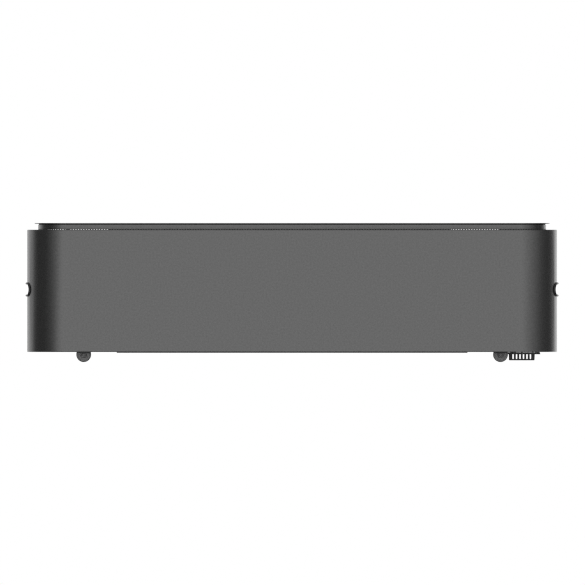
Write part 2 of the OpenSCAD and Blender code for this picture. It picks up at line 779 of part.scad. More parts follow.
// Caster body: the web that carries the axle and the stem, and the hood over the wheels
module caster_body(sx, sy) {
  half = web_t / 2 + seat + wheel_w;
  hood_in = wheel_r + 1;
  hood_out = hood_in + 1.4;
  hood_z = case_z0 + 1;
  hub_top = wheel_r + hood_in + 0.7;
  hub_x = stem_d / 2 + 1.2;
  boss_r = axle_d / 2 + 5;
  color(dark_plastic) at_caster(sx, sy) difference() {
    union() {
      intersection() {
        y_rod(hood_out, caster_trail, wheel_r, -half, half);
        block([-well_r, -half, hood_z], [well_r, half, wheel_d + well_clear]);
      }
      y_rod(boss_r, caster_trail, wheel_r, -web_t / 2, web_t / 2);
      y_profile([[-hub_x, stem_z0 - 3], [caster_trail, wheel_r - boss_r], [caster_trail + boss_r, wheel_r],
                 [caster_trail + boss_r / 2, hub_top - 2], [caster_trail, hub_top], [-hub_x, hub_top]],
                -web_t / 2, web_t / 2);
    }
    difference() {
      y_rod(hood_in, caster_trail, wheel_r, -half - over, half + over);
      block([-well_r, -web_t / 2, 0], [well_r, web_t / 2, well_top]);
    }
    translate([0, 0, stem_z0 - running]) cylinder(r = stem_d / 2 + running / 2, h = well_top);
    y_rod(axle_d / 2 + running / 2, caster_trail, wheel_r, -half, half);
  }
}

// Wheel: side is 1 for the wheel that faces outwards and -1 for the inner one.
// The profile runs from the bore, round the tread, to the dished face and its boss.
module wheel(sx, sy, side) {
  bore_r = axle_d / 2 + running;
  bore_depth = wheel_w - 2;
  w = wheel_w;
  color([0.27, 0.27, 0.27]) at_caster(sx, sy)
    translate([caster_trail, side * sy * (web_t / 2 + seat), wheel_r]) rotate([-side * sy * 90, 0, 0])
      rotate_extrude($fn = 96) polygon([
        [bore_r, 0], [wheel_r - 1, 0], [wheel_r, 1], [wheel_r, w - 1.2], [wheel_r - 1.2, w],
        [wheel_r - 2.6, w], [wheel_r - 3.2, w - 0.5], [5, w - 0.9], [4.3, w - 1.6],
        [2.9, w - 1.6], [2.5, w - 0.5], [1.8, w - 0.3], [0, w - 0.3], [0, bore_depth], [bore_r, bore_depth]
      ]);
}

// Sensor cage: a slotted cup on a flange, which hangs from the base on short feet
flange_z1 = case_z0 - flange_drop;
flange_z0 = flange_z1 - flange_t;
cage_feet = [[-22.2, -10.2], [-1.2, 1.8], [19.8, 22.4], [25.4, 33]];

module cage_slots() {
  r = cage_slot_w / 2;
  z0 = cage_clear + cage_wall + cage_sill + r;
  for (k = [-2.5:2.5]) {
    x = cage_x + k * cage_pitch;
    y_rod(r, x, z0, -cage_depth, cage_depth);
    block([x - r, -cage_depth, z0], [x + r, cage_depth, flange_z0]);
  }
}

module sensor_cage() {
  draft = 0.6;
  edge = 0.8;
  foot_depth = 3;
  brim = 2;
  slant = 1.2;
  h = cage_len / 2;
  foot = h - draft;
  t = cage_wall;
  left = cage_x - h - 9;
  right = cage_x + h + 10.4;
  hy = cage_depth / 2;
  color(dark_plastic) {
    difference() {
      union() {
        y_profile([[left, flange_z1], [left, flange_z0], [right, flange_z0], [right - slant, flange_z1]],
                  -hy - brim, hy + brim);
        y_profile([[cage_x - h, flange_z1], [cage_x - foot, cage_clear + edge],
                   [cage_x - foot + edge, cage_clear], [cage_x + foot - edge, cage_clear],
                   [cage_x + foot, cage_clear + edge], [cage_x + h, flange_z1]], -hy, hy);
      }
      y_profile([[cage_x - h + t, flange_z1 + over], [cage_x - foot + t, cage_clear + t],
                 [cage_x + foot - t, cage_clear + t], [cage_x + h - t, flange_z1 + over]], -hy + t, hy - t);
      cage_slots();
    }
    for (s = [0, 1], f = cage_feet) mirror([0, s, 0])
      block([cage_x + f[0], hy - foot_depth, flange_z1 - flange_t / 2], [cage_x + f[1], hy, pan_z]);
  }
}

// Thermistor on its stalk, held in the pan by a grommet
module room_sensor() {
  stalk_r = 1;
  bead_r = 1.3;
  bead_z = 9.5;
  color([0.55, 0.5, 0.42]) translate([cage_x, 0, 0]) {
    translate([0, 0, bead_z]) sphere(bead_r);
    translate([0, 0, bead_z]) cylinder(r = stalk_r, h = pan_top - bead_z);
    translate([0, 0, pan_z]) cylinder(r = grommet_r, h = sheet + 1);
    translate([0, 0, pan_top]) cylinder(r = grommet_r + 2, h = 2);
  }
}

// Heating element: a sheathed rod, its fins on one sleeve, and a bush at each end plate
plate_x = case_len / 2 - plate_inset;
fin_half = plate_x - 12;
fins_each = floor(fin_half / fin_pitch);
sleeve_r = rod_d / 2 + 1.2;
bush_r = rod_d / 2 + 4;

module element_rod() {
  color(zinc) {
    x_rod(rod_d / 2, 0, element_z, -plate_x - 2 * bush_out, plate_x + 2 * bush_out);
    x_rod(rod_d / 4, 0, element_z, -plate_x - 3 * bush_out, plate_x + 3 * bush_out);
  }
}

// The gaps between the fins are cut by one comb, whose spine lies past the fins' edge
module element_fins() {
  end = fins_each * fin_pitch + fin_t / 2;
  tip = fin_depth / 2 + over;
  comb = concat(
    [for (k = [-fins_each:fins_each - 1], t = [[fin_t / 2, tip], [fin_t / 2, -tip],
                                               [fin_pitch - fin_t / 2, -tip], [fin_pitch - fin_t / 2, tip]])
      [k * fin_pitch + t[0], t[1]]],
    [[end, tip + over], [-end, tip + over]]
  );
  color([0.82, 0.83, 0.84]) difference() {
    union() {
      x_rod(sleeve_r, 0, element_z, -fin_half, fin_half);
      difference() {
        translate([0, 0, element_z]) mid_block(end, fin_depth / 2, -fin_height / 2, fin_height / 2);
        translate([0, 0, element_z - fin_height / 2 - over])
          linear_extrude(fin_height + 2 * over) polygon(comb);
      }
    }
    x_rod(rod_d / 2 + running, 0, element_z, -fin_half - over, fin_half + over);
  }
}

module element_bushes() {
  color("ivory") for (s = [0, 1]) mirror([s, 0, 0]) difference() {
    union() {
      x_rod(bush_r, 0, element_z, plate_x - bush_flange, plate_x + bush_out);
      x_rod(bush_r + bush_flange, 0, element_z, plate_x - bush_flange, plate_x);
    }
    x_rod(rod_d / 2 + running, 0, element_z, plate_x - bush_flange - over, plate_x + bush_out + over);
  }
}

// Heat shields stand off the casing's front wall and the back panel
shield_y = case_depth / 2 - sheet - shield_gap;
shield_x = plate_x + 4;
end_y = shield_y - thin_sheet - seat;
standoff_r = 3;
board_corner = 8;
power_z = pan_top + power_low;
board_at = [for (sy = [-1, 1], z = [power_z + board_corner, power_z + power_h - board_corner])
  [sy * (power_w / 2 - board_corner), z]];

module end_plate() {
  foot = 11;
  top = pan_top + end_plate_h;
  cut = end_plate_cut;
  color(zinc) difference() {
    x_profile([[-end_y, pan_top], [end_y, pan_top], [end_y, top - cut], [end_y - cut, top],
               [-end_y + cut, top], [-end_y, top - cut]], plate_x, plate_x + thin_sheet);
    x_rod(bush_r + running, 0, element_z, plate_x - over, plate_x + thin_sheet + over);
  }
  color(zinc)
    block([plate_x + thin_sheet / 2, -end_y, pan_top], [plate_x + foot, end_y, pan_top + thin_sheet]);
}

module left_end_plate() {
  mirror([1, 0, 0]) end_plate();
}

module right_end_plate() {
  end_plate();
}

// A channel that opens towards the wall it stands off: wall_y is where its flanges end
module heat_shield(wall_y, z0, z1) {
  t = thin_sheet;
  y = shield_y;
  color(zinc) x_profile([[y - t, z0], [wall_y, z0], [wall_y, z0 + t], [y, z0 + t],
                         [y, z1 - t], [wall_y, z1 - t], [wall_y, z1], [y - t, z1]], -shield_x, shield_x);
}

module front_heat_shield() {
  mirror([0, 1, 0]) heat_shield(case_depth / 2 - sheet - seat, pan_top + 18, lip_z - 18);
}

module rear_heat_shield() {
  heat_shield(seat_y - seat, recess_z0 + seat_w + 4, recess_z1 - seat_w - 4);
}

// Air deflector: a V-shaped trough that hangs from the neck's flange
module air_deflector() {
  t = thin_sheet;
  flange_y = case_depth / 2 - neck_in - 1;
  wall = flange_y - 9;
  shoulder = deck_z0 - 13;
  low = deck_z0 - deflector_h;
  half = [[flange_y, deck_z0], [flange_y, deck_z0 - t], [wall, deck_z0 - t], [wall, shoulder], [8, low]];
  inner = [[8 - t / 2, low + t], [wall - t, shoulder + t / 2], [wall - t, deck_z0]];
  color(zinc) x_profile(concat(
    half,
    [for (i = [len(half) - 1:-1:0]) [-half[i][0], half[i][1]]],
    [for (i = [len(inner) - 1:-1:0]) [-inner[i][0], inner[i][1]]],
    inner
  ), deflector_left - case_len / 2, case_len / 2 - deflector_right);
}

// Safety and supply parts
module thermal_cutout() {
  z = pan_top + cutout_rise;
  x = plate_x + thin_sheet;
  color([0.15, 0.15, 0.15]) {
    x_rod(8, 0, z, x, x + 6);
    x_rod(5, 0, z, x + 5, x + 11);
    for (s = [-1, 1]) block([x + 5, s * 5 - 0.4, z - 3], [x + 16, s * 5 + 0.4, z + 3]);
  }
}

module tip_switch() {
  color([0.15, 0.15, 0.15]) translate([-caster_x, 0, pan_top]) {
    mid_block(13, 7, 0, 22);
    for (s = [-1, 1]) block([s * 6 - 3, -0.4, 21], [s * 6 + 3, 0.4, 30]);
  }
}

module terminal_block() {
  pitch = 9;
  color([0.85, 0.83, 0.78]) translate([caster_x, 0, pan_top]) difference() {
    union() {
      mid_block(18, 10, 0, 9);
      for (k = [-1.5:1.5]) translate([k * pitch, 0, 0]) mid_block(3.6, 10, 8, 16);
    }
    for (k = [-1.5:1.5]) y_rod(1.8, k * pitch, 5, -11, 11);
    for (k = [-1.5:1.5], s = [-1, 1]) translate([k * pitch, s * 5.5, 6]) cylinder(r = 2, h = 11);
  }
}

module board_standoffs() {
  x = plate_x + thin_sheet;
  color(bright_steel) for (p = board_at) x_rod(standoff_r, p[0], p[1], x, x + standoff_len);
}

// Power board with two relays, a capacitor and a row of terminals
module power_board() {
  x0 = plate_x + thin_sheet + standoff_len;
  x1 = x0 + board_t - seat;
  relay_w = 0.64 * relay_h;
  relay_t = 0.56 * relay_h;
  z1 = power_z + power_h;
  color([0.1, 0.35, 0.2]) {
    block([x0, -power_w / 2, power_z], [x0 + board_t, power_w / 2, z1]);
    for (y = [-power_w / 3, -power_w / 12])
      block([x1, y, power_z + relay_h / 2], [x1 + relay_t, y + relay_w, power_z + 1.5 * relay_h]);
    x_rod(relay_w / 3, power_w / 3, power_z + 0.7 * relay_h, x1, x1 + 0.75 * relay_h);
    block([x1, -0.37 * power_w, z1 - power_h / 4], [x1 + relay_t / 1.5, 0.33 * power_w, z1 - power_h / 9]);
  }
}

gland_x = case_len / 2 - gland_inset;
gland_r = gland_bore / 2 + 3.2;

module cord_gland() {
  flange_t = 2.2;
  flange_r = gland_r + 4;
  nut_t = 5;
  tail = 20;
  color(dark_plastic) difference() {
    union() {
      y_rod(flange_r, gland_x, gland_z, panel_y, panel_y + flange_t);
      y_rod(gland_r, gland_x, gland_z, seat_y - tail, panel_y + flange_t / 2);
      translate([gland_x, seat_y, gland_z]) rotate([90, 0, 0]) cylinder(r = gland_r + 4, h = nut_t, $fn = 6);
    }
    y_rod(gland_bore / 2, gland_x, gland_z, seat_y - tail - over, panel_y + flange_t + over);
  }
}

outer_casing();
rear_panel();
top_grille();
plate_gasket();
top_plate();
control_fascia();
display_window();
control_box();
control_board();
button(button_at[0]);  // button_power
button(button_at[1]);  // button_mode
button(button_at[2]);  // button_minus
button(button_at[3]);  // button_timer
button(button_at[4]);  // button_plus
base_pan();
inlet_grille();
caster_sockets();
sensor_cage();
room_sensor();
mirror([1, 0, 0]) grip();  // left_grip
grip();  // right_grip
element_rod();
element_fins();
element_bushes();
left_end_plate();
right_end_plate();
front_heat_shield();
rear_heat_shield();
air_deflector();
top_brace();
thermal_cutout();
tip_switch();
terminal_block();
power_board();
board_standoffs();
cord_gland();
rear_screws();
inlet_screws();
pan_rivets();
grille_screws();
caster_stem(-1, -1);  // caster_stem_fl
caster_body(-1, -1);  // caster_body_fl
axle(-1, -1);  // axle_fl
wheel(-1, -1, 1);  // wheel_fl_outer
wheel(-1, -1, -1);  // wheel_fl_inner
caster_stem(1, -1);  // caster_stem_fr
caster_body(1, -1);  // caster_body_fr
axle(1, -1);  // axle_fr
wheel(1, -1, 1);  // wheel_fr_outer
wheel(1, -1, -1);  // wheel_fr_inner
caster_stem(-1, 1);  // caster_stem_bl
caster_body(-1, 1);  // caster_body_bl
axle(-1, 1);  // axle_bl
wheel(-1, 1, 1);  // wheel_bl_outer
wheel(-1, 1, -1);  // wheel_bl_inner
caster_stem(1, 1);  // caster_stem_br
caster_body(1, 1);  // caster_body_br
axle(1, 1);  // axle_br
wheel(1, 1, 1);  // wheel_br_outer
wheel(1, 1, -1);  // wheel_br_inner
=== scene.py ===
"""Portable baseboard convector heater: finishes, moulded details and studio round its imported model.

Every size is in metres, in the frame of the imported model: X along the heater, the front faces -Y, Z up.
"""

import math

import bmesh
import bpy
import numpy as np
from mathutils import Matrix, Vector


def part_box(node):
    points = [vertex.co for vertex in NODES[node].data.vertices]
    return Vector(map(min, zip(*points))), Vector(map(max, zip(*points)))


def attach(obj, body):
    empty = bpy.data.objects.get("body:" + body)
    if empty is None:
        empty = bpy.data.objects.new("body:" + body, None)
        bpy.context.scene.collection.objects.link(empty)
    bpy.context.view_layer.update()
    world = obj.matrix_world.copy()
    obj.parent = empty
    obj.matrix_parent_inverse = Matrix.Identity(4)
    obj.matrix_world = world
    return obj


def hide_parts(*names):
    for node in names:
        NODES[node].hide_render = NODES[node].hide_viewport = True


bl_info = {
    "name": "Baseboard convector heater",
    "version": (1, 0, 0),
    "blender": (4, 5, 0),
    "location": "View3D > Sidebar > Heater",
    "description": "Finishes, moulded details and studio for a baseboard convector heater",
    "category": "Object",
}

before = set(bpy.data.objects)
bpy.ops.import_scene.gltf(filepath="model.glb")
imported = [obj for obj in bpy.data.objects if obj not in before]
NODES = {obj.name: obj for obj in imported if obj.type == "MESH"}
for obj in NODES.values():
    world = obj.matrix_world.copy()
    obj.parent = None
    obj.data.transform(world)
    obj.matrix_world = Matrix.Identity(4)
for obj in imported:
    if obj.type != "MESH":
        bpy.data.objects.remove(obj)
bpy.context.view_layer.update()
MM = 0.001
# The side that each caster is on: -1 at the front, 1 at the back
CORNERS = {"fl": -1, "fr": -1, "bl": 1, "br": 1}
# Edges that turn more than these stay sharp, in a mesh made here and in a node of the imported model
MADE_CREASE = math.radians(35)
NODE_CREASE = math.radians(30)
# Where a node's edges get a round, those do that turn more than this
ROUND_FROM = math.radians(50)


def middle(node):
    """The middle of a node's box at rest."""
    low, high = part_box(node)
    return (low + high) / 2


class HeaterSizes(bpy.types.PropertyGroup):
    """Sizes of the moulded details."""

    corner_radius: bpy.props.FloatProperty(
        name="Corner radius", description="Radius of the casing's upright corners",
        default=70 * MM, min=0, subtype="DISTANCE", unit="LENGTH")
    grip_straight: bpy.props.FloatProperty(
        name="Grip straight", description="Half the length of the grip's straight sides",
        default=35.7 * MM, min=0, subtype="DISTANCE", unit="LENGTH")
    rim_width: bpy.props.FloatProperty(
        name="Rim width", description="Width of the grip's rounded rim",
        default=4.2 * MM, min=0, subtype="DISTANCE", unit="LENGTH")
    rim_rise: bpy.props.FloatProperty(
        name="Rim rise", description="Height of the grip's rim above the casing",
        default=3 * MM, min=0, subtype="DISTANCE", unit="LENGTH")
    cup_wall: bpy.props.FloatProperty(
        name="Cup wall", description="Wall thickness of the grip's finger cup",
        default=1.6 * MM, min=0, subtype="DISTANCE", unit="LENGTH")
    cup_fillet: bpy.props.FloatProperty(
        name="Cup fillet", description="Radius between the finger cup's floor and wall",
        default=2.5 * MM, min=0, subtype="DISTANCE", unit="LENGTH")
    # Painted shade: a dark line over the grille's slots stands for the shade in the groove above the casing's
    # edge
    painted_shade_rise: bpy.props.FloatProperty(
        name="Painted shade rise", description="Height above the casing of the joint line over the slots",
        default=0.93 * MM, min=0, subtype="DISTANCE", unit="LENGTH")
    painted_shade_width: bpy.props.FloatProperty(
        name="Painted shade width", description="Width of the joint line over the slots",
        default=0.56 * MM, min=0, subtype="DISTANCE", unit="LENGTH")
    plate_edge: bpy.props.FloatProperty(
        name="Plate edge", description="Round on the edges of the top plate",
        default=0.3 * MM, min=0, subtype="DISTANCE", unit="LENGTH")
    button_radius: bpy.props.FloatProperty(
        name="Button radius", description="Radius of a button's cap",
        default=5.5 * MM, min=0, subtype="DISTANCE", unit="LENGTH")
    dish_radius: bpy.props.FloatProperty(
        name="Dish radius", description="Radius of the dish in a button's cap",
        default=5 * MM, min=0, subtype="DISTANCE", unit="LENGTH")
    dish_depth: bpy.props.FloatProperty(
        name="Dish depth", description="Depth of the dish in a button's cap",
        default=0.4 * MM, min=0, subtype="DISTANCE", unit="LENGTH")
    skirt_clear: bpy.props.FloatProperty(
        name="Skirt clearance", description="Height above the floor of the caster hood's lower edge",
        default=17 * MM, min=0, subtype="DISTANCE", unit="LENGTH")
    mark_width: bpy.props.FloatProperty(
        name="Mark width", description="Width of the lines printed on the buttons",
        default=0.55 * MM, min=0, subtype="DISTANCE", unit="LENGTH")
    mark_rise: bpy.props.FloatProperty(
        name="Mark rise", description="Height of the printed lines above the cap",
        default=0.03 * MM, min=0, subtype="DISTANCE", unit="LENGTH")
    digit_height: bpy.props.FloatProperty(
        name="Digit height", description="Height of a digit in the display",
        default=12 * MM, min=0, subtype="DISTANCE", unit="LENGTH")
    segment_width: bpy.props.FloatProperty(
        name="Segment width", description="Width of a bar of a digit in the display",
        default=1.1 * MM, min=0, subtype="DISTANCE", unit="LENGTH")


class HeaterColours(bpy.types.PropertyGroup):
    """Colours of the finishes, as linear values."""

    casing: bpy.props.FloatVectorProperty(
        name="Casing", description="Powder coat of the casing, back panel and top plate",
        default=(0.152, 0.152, 0.152), min=0, max=1, subtype="COLOR")
    grille: bpy.props.FloatVectorProperty(
        name="Grille", description="Moulded top grille and control fascia",
        default=(0.149, 0.149, 0.149), min=0, max=1, subtype="COLOR")
    # Painted shade: colour of the dark line over the slots, which stands for the shade in that groove
    painted_shade: bpy.props.FloatVectorProperty(
        name="Painted shade line", description="Dark joint line over the slots of the top grille",
        default=(0.01, 0.01, 0.01), min=0, max=1, subtype="COLOR")
    moulding: bpy.props.FloatVectorProperty(
        name="Dark mouldings", description="Grips, sensor cage, inlet grille and caster bodies",
        default=(0.022, 0.022, 0.023), min=0, max=1, subtype="COLOR")
    wheel: bpy.props.FloatVectorProperty(
        name="Wheels", description="Caster wheels",
        default=(0.32, 0.32, 0.32), min=0, max=1, subtype="COLOR")
    button: bpy.props.FloatVectorProperty(
        name="Buttons", description="Button caps",
        default=(0.07, 0.07, 0.073), min=0, max=1, subtype="COLOR")
    print_ink: bpy.props.FloatVectorProperty(
        name="Print", description="Lines printed on the buttons",
        default=(0.62, 0.62, 0.6), min=0, max=1, subtype="COLOR")
    zinc: bpy.props.FloatVectorProperty(
        name="Zinc", description="Plated sheet of the base pan, shields and end plates",
        default=(0.5, 0.51, 0.52), min=0, max=1, subtype="COLOR")
    dust: bpy.props.FloatVectorProperty(
        name="Dust", description="Thin dust on the faces that look up",
        default=(0.42, 0.4, 0.37), min=0, max=1, subtype="COLOR")


# Brightness of the studio round the heater: degrees from straight ahead, to the left below zero
LIGHT_ROUND = (
    (-180, 1.0), (-154, 1.0), (-142, 1.05), (-122, 0.8), (-104, 0.18), (-92, 0.11), (-60, 0.11),
    (-40, 0.25), (-22, 0.6), (-10, 1.0), (6, 1.0), (24, 0.75), (50, 0.45), (72, 0.2), (100, 0.12),
    (122, 0.25), (134, 0.95), (142, 1.4), (156, 1.5), (180, 1.0),
)
# Share of that brightness by height: the sine of the elevation, from straight down to straight up
LIGHT_UP = ((-1.0, 0.35), (-0.7, 0.2), (-0.4, 1.0), (0.22, 1.0), (0.6, 0.4), (1.0, 0.4))
# Sines of the elevations between which the studio brightens again to its overhead level
OVERHEAD = (0.85, 0.98)


class StageSettings(bpy.types.PropertyGroup):
    """The studio: camera and light."""

    view_width: bpy.props.FloatProperty(
        name="View width", description="Width that the level camera takes in",
        default=1.104, min=0, subtype="DISTANCE", unit="LENGTH")
    view_x: bpy.props.FloatProperty(
        name="View centre", description="Place of the view's centre along the heater",
        default=0.74 * MM, subtype="DISTANCE", unit="LENGTH")
    view_z: bpy.props.FloatProperty(
        name="View height", description="Height of the view's centre above the floor",
        default=131.3 * MM, subtype="DISTANCE", unit="LENGTH")
    overhead_level: bpy.props.FloatProperty(
        name="Overhead level", description="Brightness of the studio overhead",
        default=0.6, min=0, max=1)
    soft_level: bpy.props.FloatProperty(
        name="Soft level", description="Least brightness of the studio for matt surfaces, from all round",
        default=0.75, min=0, max=1)
    floor_glow: bpy.props.FloatProperty(
        name="Floor glow", description="Brightness added to the floor for the camera alone",
        default=0.7, min=0, max=1)
    lamp_power: bpy.props.FloatProperty(
        name="Lamp power", description="Power of the lamp overhead, in watts",
        default=14, min=0)


def sizes():
    """The sizes of the moulded details."""
    return bpy.context.scene.heater_sizes


def colours():
    """The colours of the finishes."""
    return bpy.context.scene.heater_colours


def studio():
    """The settings of the camera and light."""
    return bpy.context.scene.heater_stage


# Surfaces

def grid_faces(rows, columns, start):
    """Quads of a grid of points whose columns close on themselves: each joins the points
    (i, j), (i, j+1), (i+1, j+1) and (i+1, j)."""
    index = start + np.arange(rows * columns).reshape(rows, columns)
    after = np.roll(index, -1, axis=1)
    return np.stack([index[:-1], after[:-1], after[1:], index[1:]], -1).reshape(-1, 4)


def surface_mesh(name, grids):
    """One mesh from grids of points, each of shape (rows, columns, 3), with doubles merged,
    faces turned outwards and sharp edges kept sharp."""
    points, faces, start = [], [], 0
    for grid in grids:
        rows, columns = grid.shape[:2]
        points.append(grid.reshape(-1, 3))
        faces.append(grid_faces(rows, columns, start))
        start += rows * columns
    mesh = bpy.data.meshes.new(name)
    mesh.from_pydata(np.concatenate(points), [], np.concatenate(faces).tolist())
    work = bmesh.new()
    work.from_mesh(mesh)
    bmesh.ops.remove_doubles(work, verts=work.verts, dist=1e-6)
    bmesh.ops.dissolve_degenerate(work, edges=work.edges, dist=1e-7)
    bmesh.ops.recalc_face_normals(work, faces=work.faces)
    work.to_mesh(mesh)
    work.free()
    mesh.polygons.foreach_set("use_smooth", np.ones(len(mesh.polygons), bool))
    mesh.set_sharp_from_angle(angle=MADE_CREASE)
    return mesh


def new_piece(name, mesh, material, body, stands_for=()):
    """Makes a piece that rides on a body, in place of the nodes that it stands for."""
    piece = bpy.data.objects.new(name, mesh)
    bpy.context.scene.collection.objects.link(piece)
    mesh.materials.append(material)
    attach(piece, body)
    if stands_for:
        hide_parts(*stands_for)


def rounded_profile(profile, radius):
    """A polyline of (r, h) points whose inner corners are rounded: each corner P is replaced by the
    quadratic curve (1-t)^2 A + 2t(1-t) P + t^2 B, where A and B lie on its sides, the radius away from
    P and at most 0.45 of the side."""
    steps, most = 5, 0.45
    profile = np.asarray(profile, float)
    before, corner, after = profile[:-2], profile[1:-1], profile[2:]
    side_a, side_b = before - corner, after - corner
    length_a, length_b = (np.linalg.norm(side, axis=1)[:, None] for side in (side_a, side_b))
    a = corner + side_a * np.minimum(radius / length_a, most)
    b = corner + side_b * np.minimum(radius / length_b, most)
    t = np.linspace(0, 1, steps)[None, :, None]
    curves = (1 - t) ** 2 * a[:, None] + 2 * t * (1 - t) * corner[:, None] + t ** 2 * b[:, None]
    return np.concatenate([profile[:1], curves.reshape(-1, 2), profile[-1:]])


def revolved(profile, centre, axis, segments=96):
    """A profile of (r, h) points turned about an axis through centre: each point lies at
    centre + h axis + r (cos(a) side + sin(a) up), for a full turn of a."""
    axis = np.asarray(axis, float)
    side = np.array([1.0, 0, 0])
    up = np.cross(axis, side)
    angle = np.linspace(0, 2 * math.pi, segments, endpoint=False)[None, :, None]
    r = profile[:, 0][:, None, None]
    h = profile[:, 1][:, None, None]
    return np.asarray(centre) + h * axis + r * (np.cos(angle) * side + np.sin(angle) * up)


def with_ends(rings):
    """Rings of points, of shape (rings, points, 3), with both ends drawn to the middle of the end ring."""
    first, last = (np.broadcast_to(ring.mean(axis=0), ring.shape)[None] for ring in (rings[0], rings[-1]))
    return np.concatenate([first, rings, last])


def raised_line(path, width, rise, height_at):
    """A closed strip along a path of (x, y) points: a box section of the width and rise, whose corners lie
    on both sides of the path, square to its tangent, on the surface height_at(distance from the origin)."""
    path = np.asarray(path, float)
    tangent = np.gradient(path, axis=0)
    tangent /= np.linalg.norm(tangent, axis=1)[:, None]
    normal = np.stack([-tangent[:, 1], tangent[:, 0]], -1)
    across = np.array([-0.5, -0.5, 0.5, 0.5])[None, :, None]
    up = np.array([-1.0, 1.0, 1.0, -1.0])[None, :]
    flat = path[:, None] + across * width * normal[:, None]
    z = height_at(np.linalg.norm(flat, axis=-1)) + up * rise
    return with_ends(np.concatenate([flat, z[..., None]], -1))


# Shader nodes

def feed(node, inputs):
    """Links each input of a node, given by name or number, to an output or gives it a plain value."""
    for key, value in inputs.items():
        if isinstance(value, bpy.types.NodeSocket):
            node.id_data.links.new(value, node.inputs[key])
        else:
            node.inputs[key].default_value = value


def add_node(tree, kind, inputs=None, **settings):
    """A new node with these settings, its inputs linked or given values."""
    node = tree.nodes.new(kind)
    for key, value in settings.items():
        setattr(node, key, value)
    feed(node, inputs or {})
    return node


def calculate(tree, operation, *values):
    """The result of a Math node on outputs and numbers."""
    return add_node(tree, "ShaderNodeMath", dict(enumerate(values)), operation=operation).outputs[0]


def remap(tree, source, span, target=(0.0, 1.0), **settings):
    """The source carried from one span of values to another, and held at its ends."""
    return add_node(tree, "ShaderNodeMapRange", {
        "Value": source, "From Min": span[0], "From Max": span[1], "To Min": target[0],
        "To Max": target[1]}, **settings).outputs[0]


def mix_colours(tree, share, first, second):
    """The first colour, mixed with the second by a share from 0 to 1."""
    inputs = {"Factor": share, "A": first, "B": second}
    return add_node(tree, "ShaderNodeMix", inputs, data_type="RGBA").outputs["Result"]


def split_vector(tree, vector):
    """The X, Y and Z outputs of a vector, by name."""
    return add_node(tree, "ShaderNodeSeparateXYZ", {0: vector}).outputs


def noise(tree, vector, scale, detail, roughness):
    """The value of a noise texture at a vector."""
    return add_node(tree, "ShaderNodeTexNoise", {
        "Vector": vector, "Scale": scale, "Detail": detail, "Roughness": roughness}).outputs["Fac"]


def bumped(tree, height, distance):
    """The normal of a surface that is raised by a height times a distance."""
    return add_node(tree, "ShaderNodeBump", {
        "Height": height, "Strength": 1.0, "Distance": distance}).outputs["Normal"]


def group_tree(name, inputs, outputs):
    """An empty node group with its named sockets, and its input and output nodes."""
    tree = bpy.data.node_groups.new(name, "ShaderNodeTree")
    for label, kind, value in inputs:
        socket = tree.interface.new_socket(label, in_out="INPUT", socket_type=kind)
        if value is not None:
            socket.default_value = value
    for label, kind in outputs:
        tree.interface.new_socket(label, in_out="OUTPUT", socket_type=kind)
    return tree, tree.nodes.new("NodeGroupInput"), tree.nodes.new("NodeGroupOutput")


def texture_group():
    """Fine texture of a coat or moulding. Height is a fine grain on a softer waviness, and Mottle
    a soft variation about 0.5 for the colour and gloss."""
    tree, start, end = group_tree(
        "Surface texture",
        [("Vector", "NodeSocketVector", None), ("Grain Scale", "NodeSocketFloat", 900.0),
         ("Mottle Scale", "NodeSocketFloat", 180.0)],
        [("Height", "NodeSocketFloat"), ("Mottle", "NodeSocketFloat")])
    vector, fine, soft = (start.outputs[key] for key in ("Vector", "Grain Scale", "Mottle Scale"))
    grain = noise(tree, vector, fine, 3.0, 0.6)
    wave = noise(tree, vector, calculate(tree, "MULTIPLY", fine, 0.35), 2.0, 0.5)
    mottle = noise(tree, vector, soft, 4.0, 0.65)
    feed(end, {"Height": calculate(tree, "ADD", grain, wave), "Mottle": mottle})
    return tree


def grain_group():
    """Rolled or brushed grain: noise drawn out along one axis by the Stretch vector."""
    tree, start, end = group_tree(
        "Rolled grain",
        [("Vector", "NodeSocketVector", None), ("Stretch", "NodeSocketVector", (6.0, 400.0, 400.0))],
        [("Grain", "NodeSocketFloat")])
    scaled = add_node(tree, "ShaderNodeVectorMath", {
        0: start.outputs["Vector"], 1: start.outputs["Stretch"]}, operation="MULTIPLY")
    feed(end, {"Grain": noise(tree, scaled.outputs[0], 1.0, 4.0, 0.6)})
    return tree


def dust_group():
    """A thin settled dust: faces that look up, broken up by noise, times Amount."""
    tree, start, end = group_tree(
        "Settled dust",
        [("Vector", "NodeSocketVector", None), ("Amount", "NodeSocketFloat", 0.1)],
        [("Mask", "NodeSocketFloat")])
    normal = add_node(tree, "ShaderNodeNewGeometry").outputs["Normal"]
    facing = remap(tree, split_vector(tree, normal)["Z"], (0.3, 1.0))
    spread = calculate(tree, "MULTIPLY", facing, noise(tree, start.outputs["Vector"], 35.0, 6.0, 0.7))
    feed(end, {"Mask": calculate(tree, "MULTIPLY", spread, start.outputs["Amount"])})
    return tree


def place_group(tree, name, inputs):
    """The node group of this name, made once and shared, with this material's own inputs."""
    makers = {"Surface texture": texture_group, "Rolled grain": grain_group, "Settled dust": dust_group}
    group = bpy.data.node_groups.get(name) or makers[name]()
    return add_node(tree, "ShaderNodeGroup", inputs, node_tree=group)


def new_material(name, constants):
    """A material with a Principled shader that has these constants, and Object coordinates."""
    material = bpy.data.materials.new(name)
    material.use_nodes = True
    tree = material.node_tree
    shader = tree.nodes["Principled BSDF"]
    feed(shader, constants)
    coordinates = add_node(tree, "ShaderNodeTexCoord").outputs["Object"]
    return material, tree, shader, coordinates


def spread_value(tree, source, low, high):
    """The source's 0.25 to 0.75 carried to low to high."""
    return remap(tree, source, (0.25, 0.75), (low, high))


def tinted(tree, colour, source, depth):
    """The colour, made darker and lighter by the depth as the source goes from 0.25 to 0.75."""
    dark = (*[c * (1 - depth) for c in colour], 1)
    light = (*[min(1, c * (1 + depth)) for c in colour], 1)
    return mix_colours(tree, spread_value(tree, source, 0, 1), dark, light)


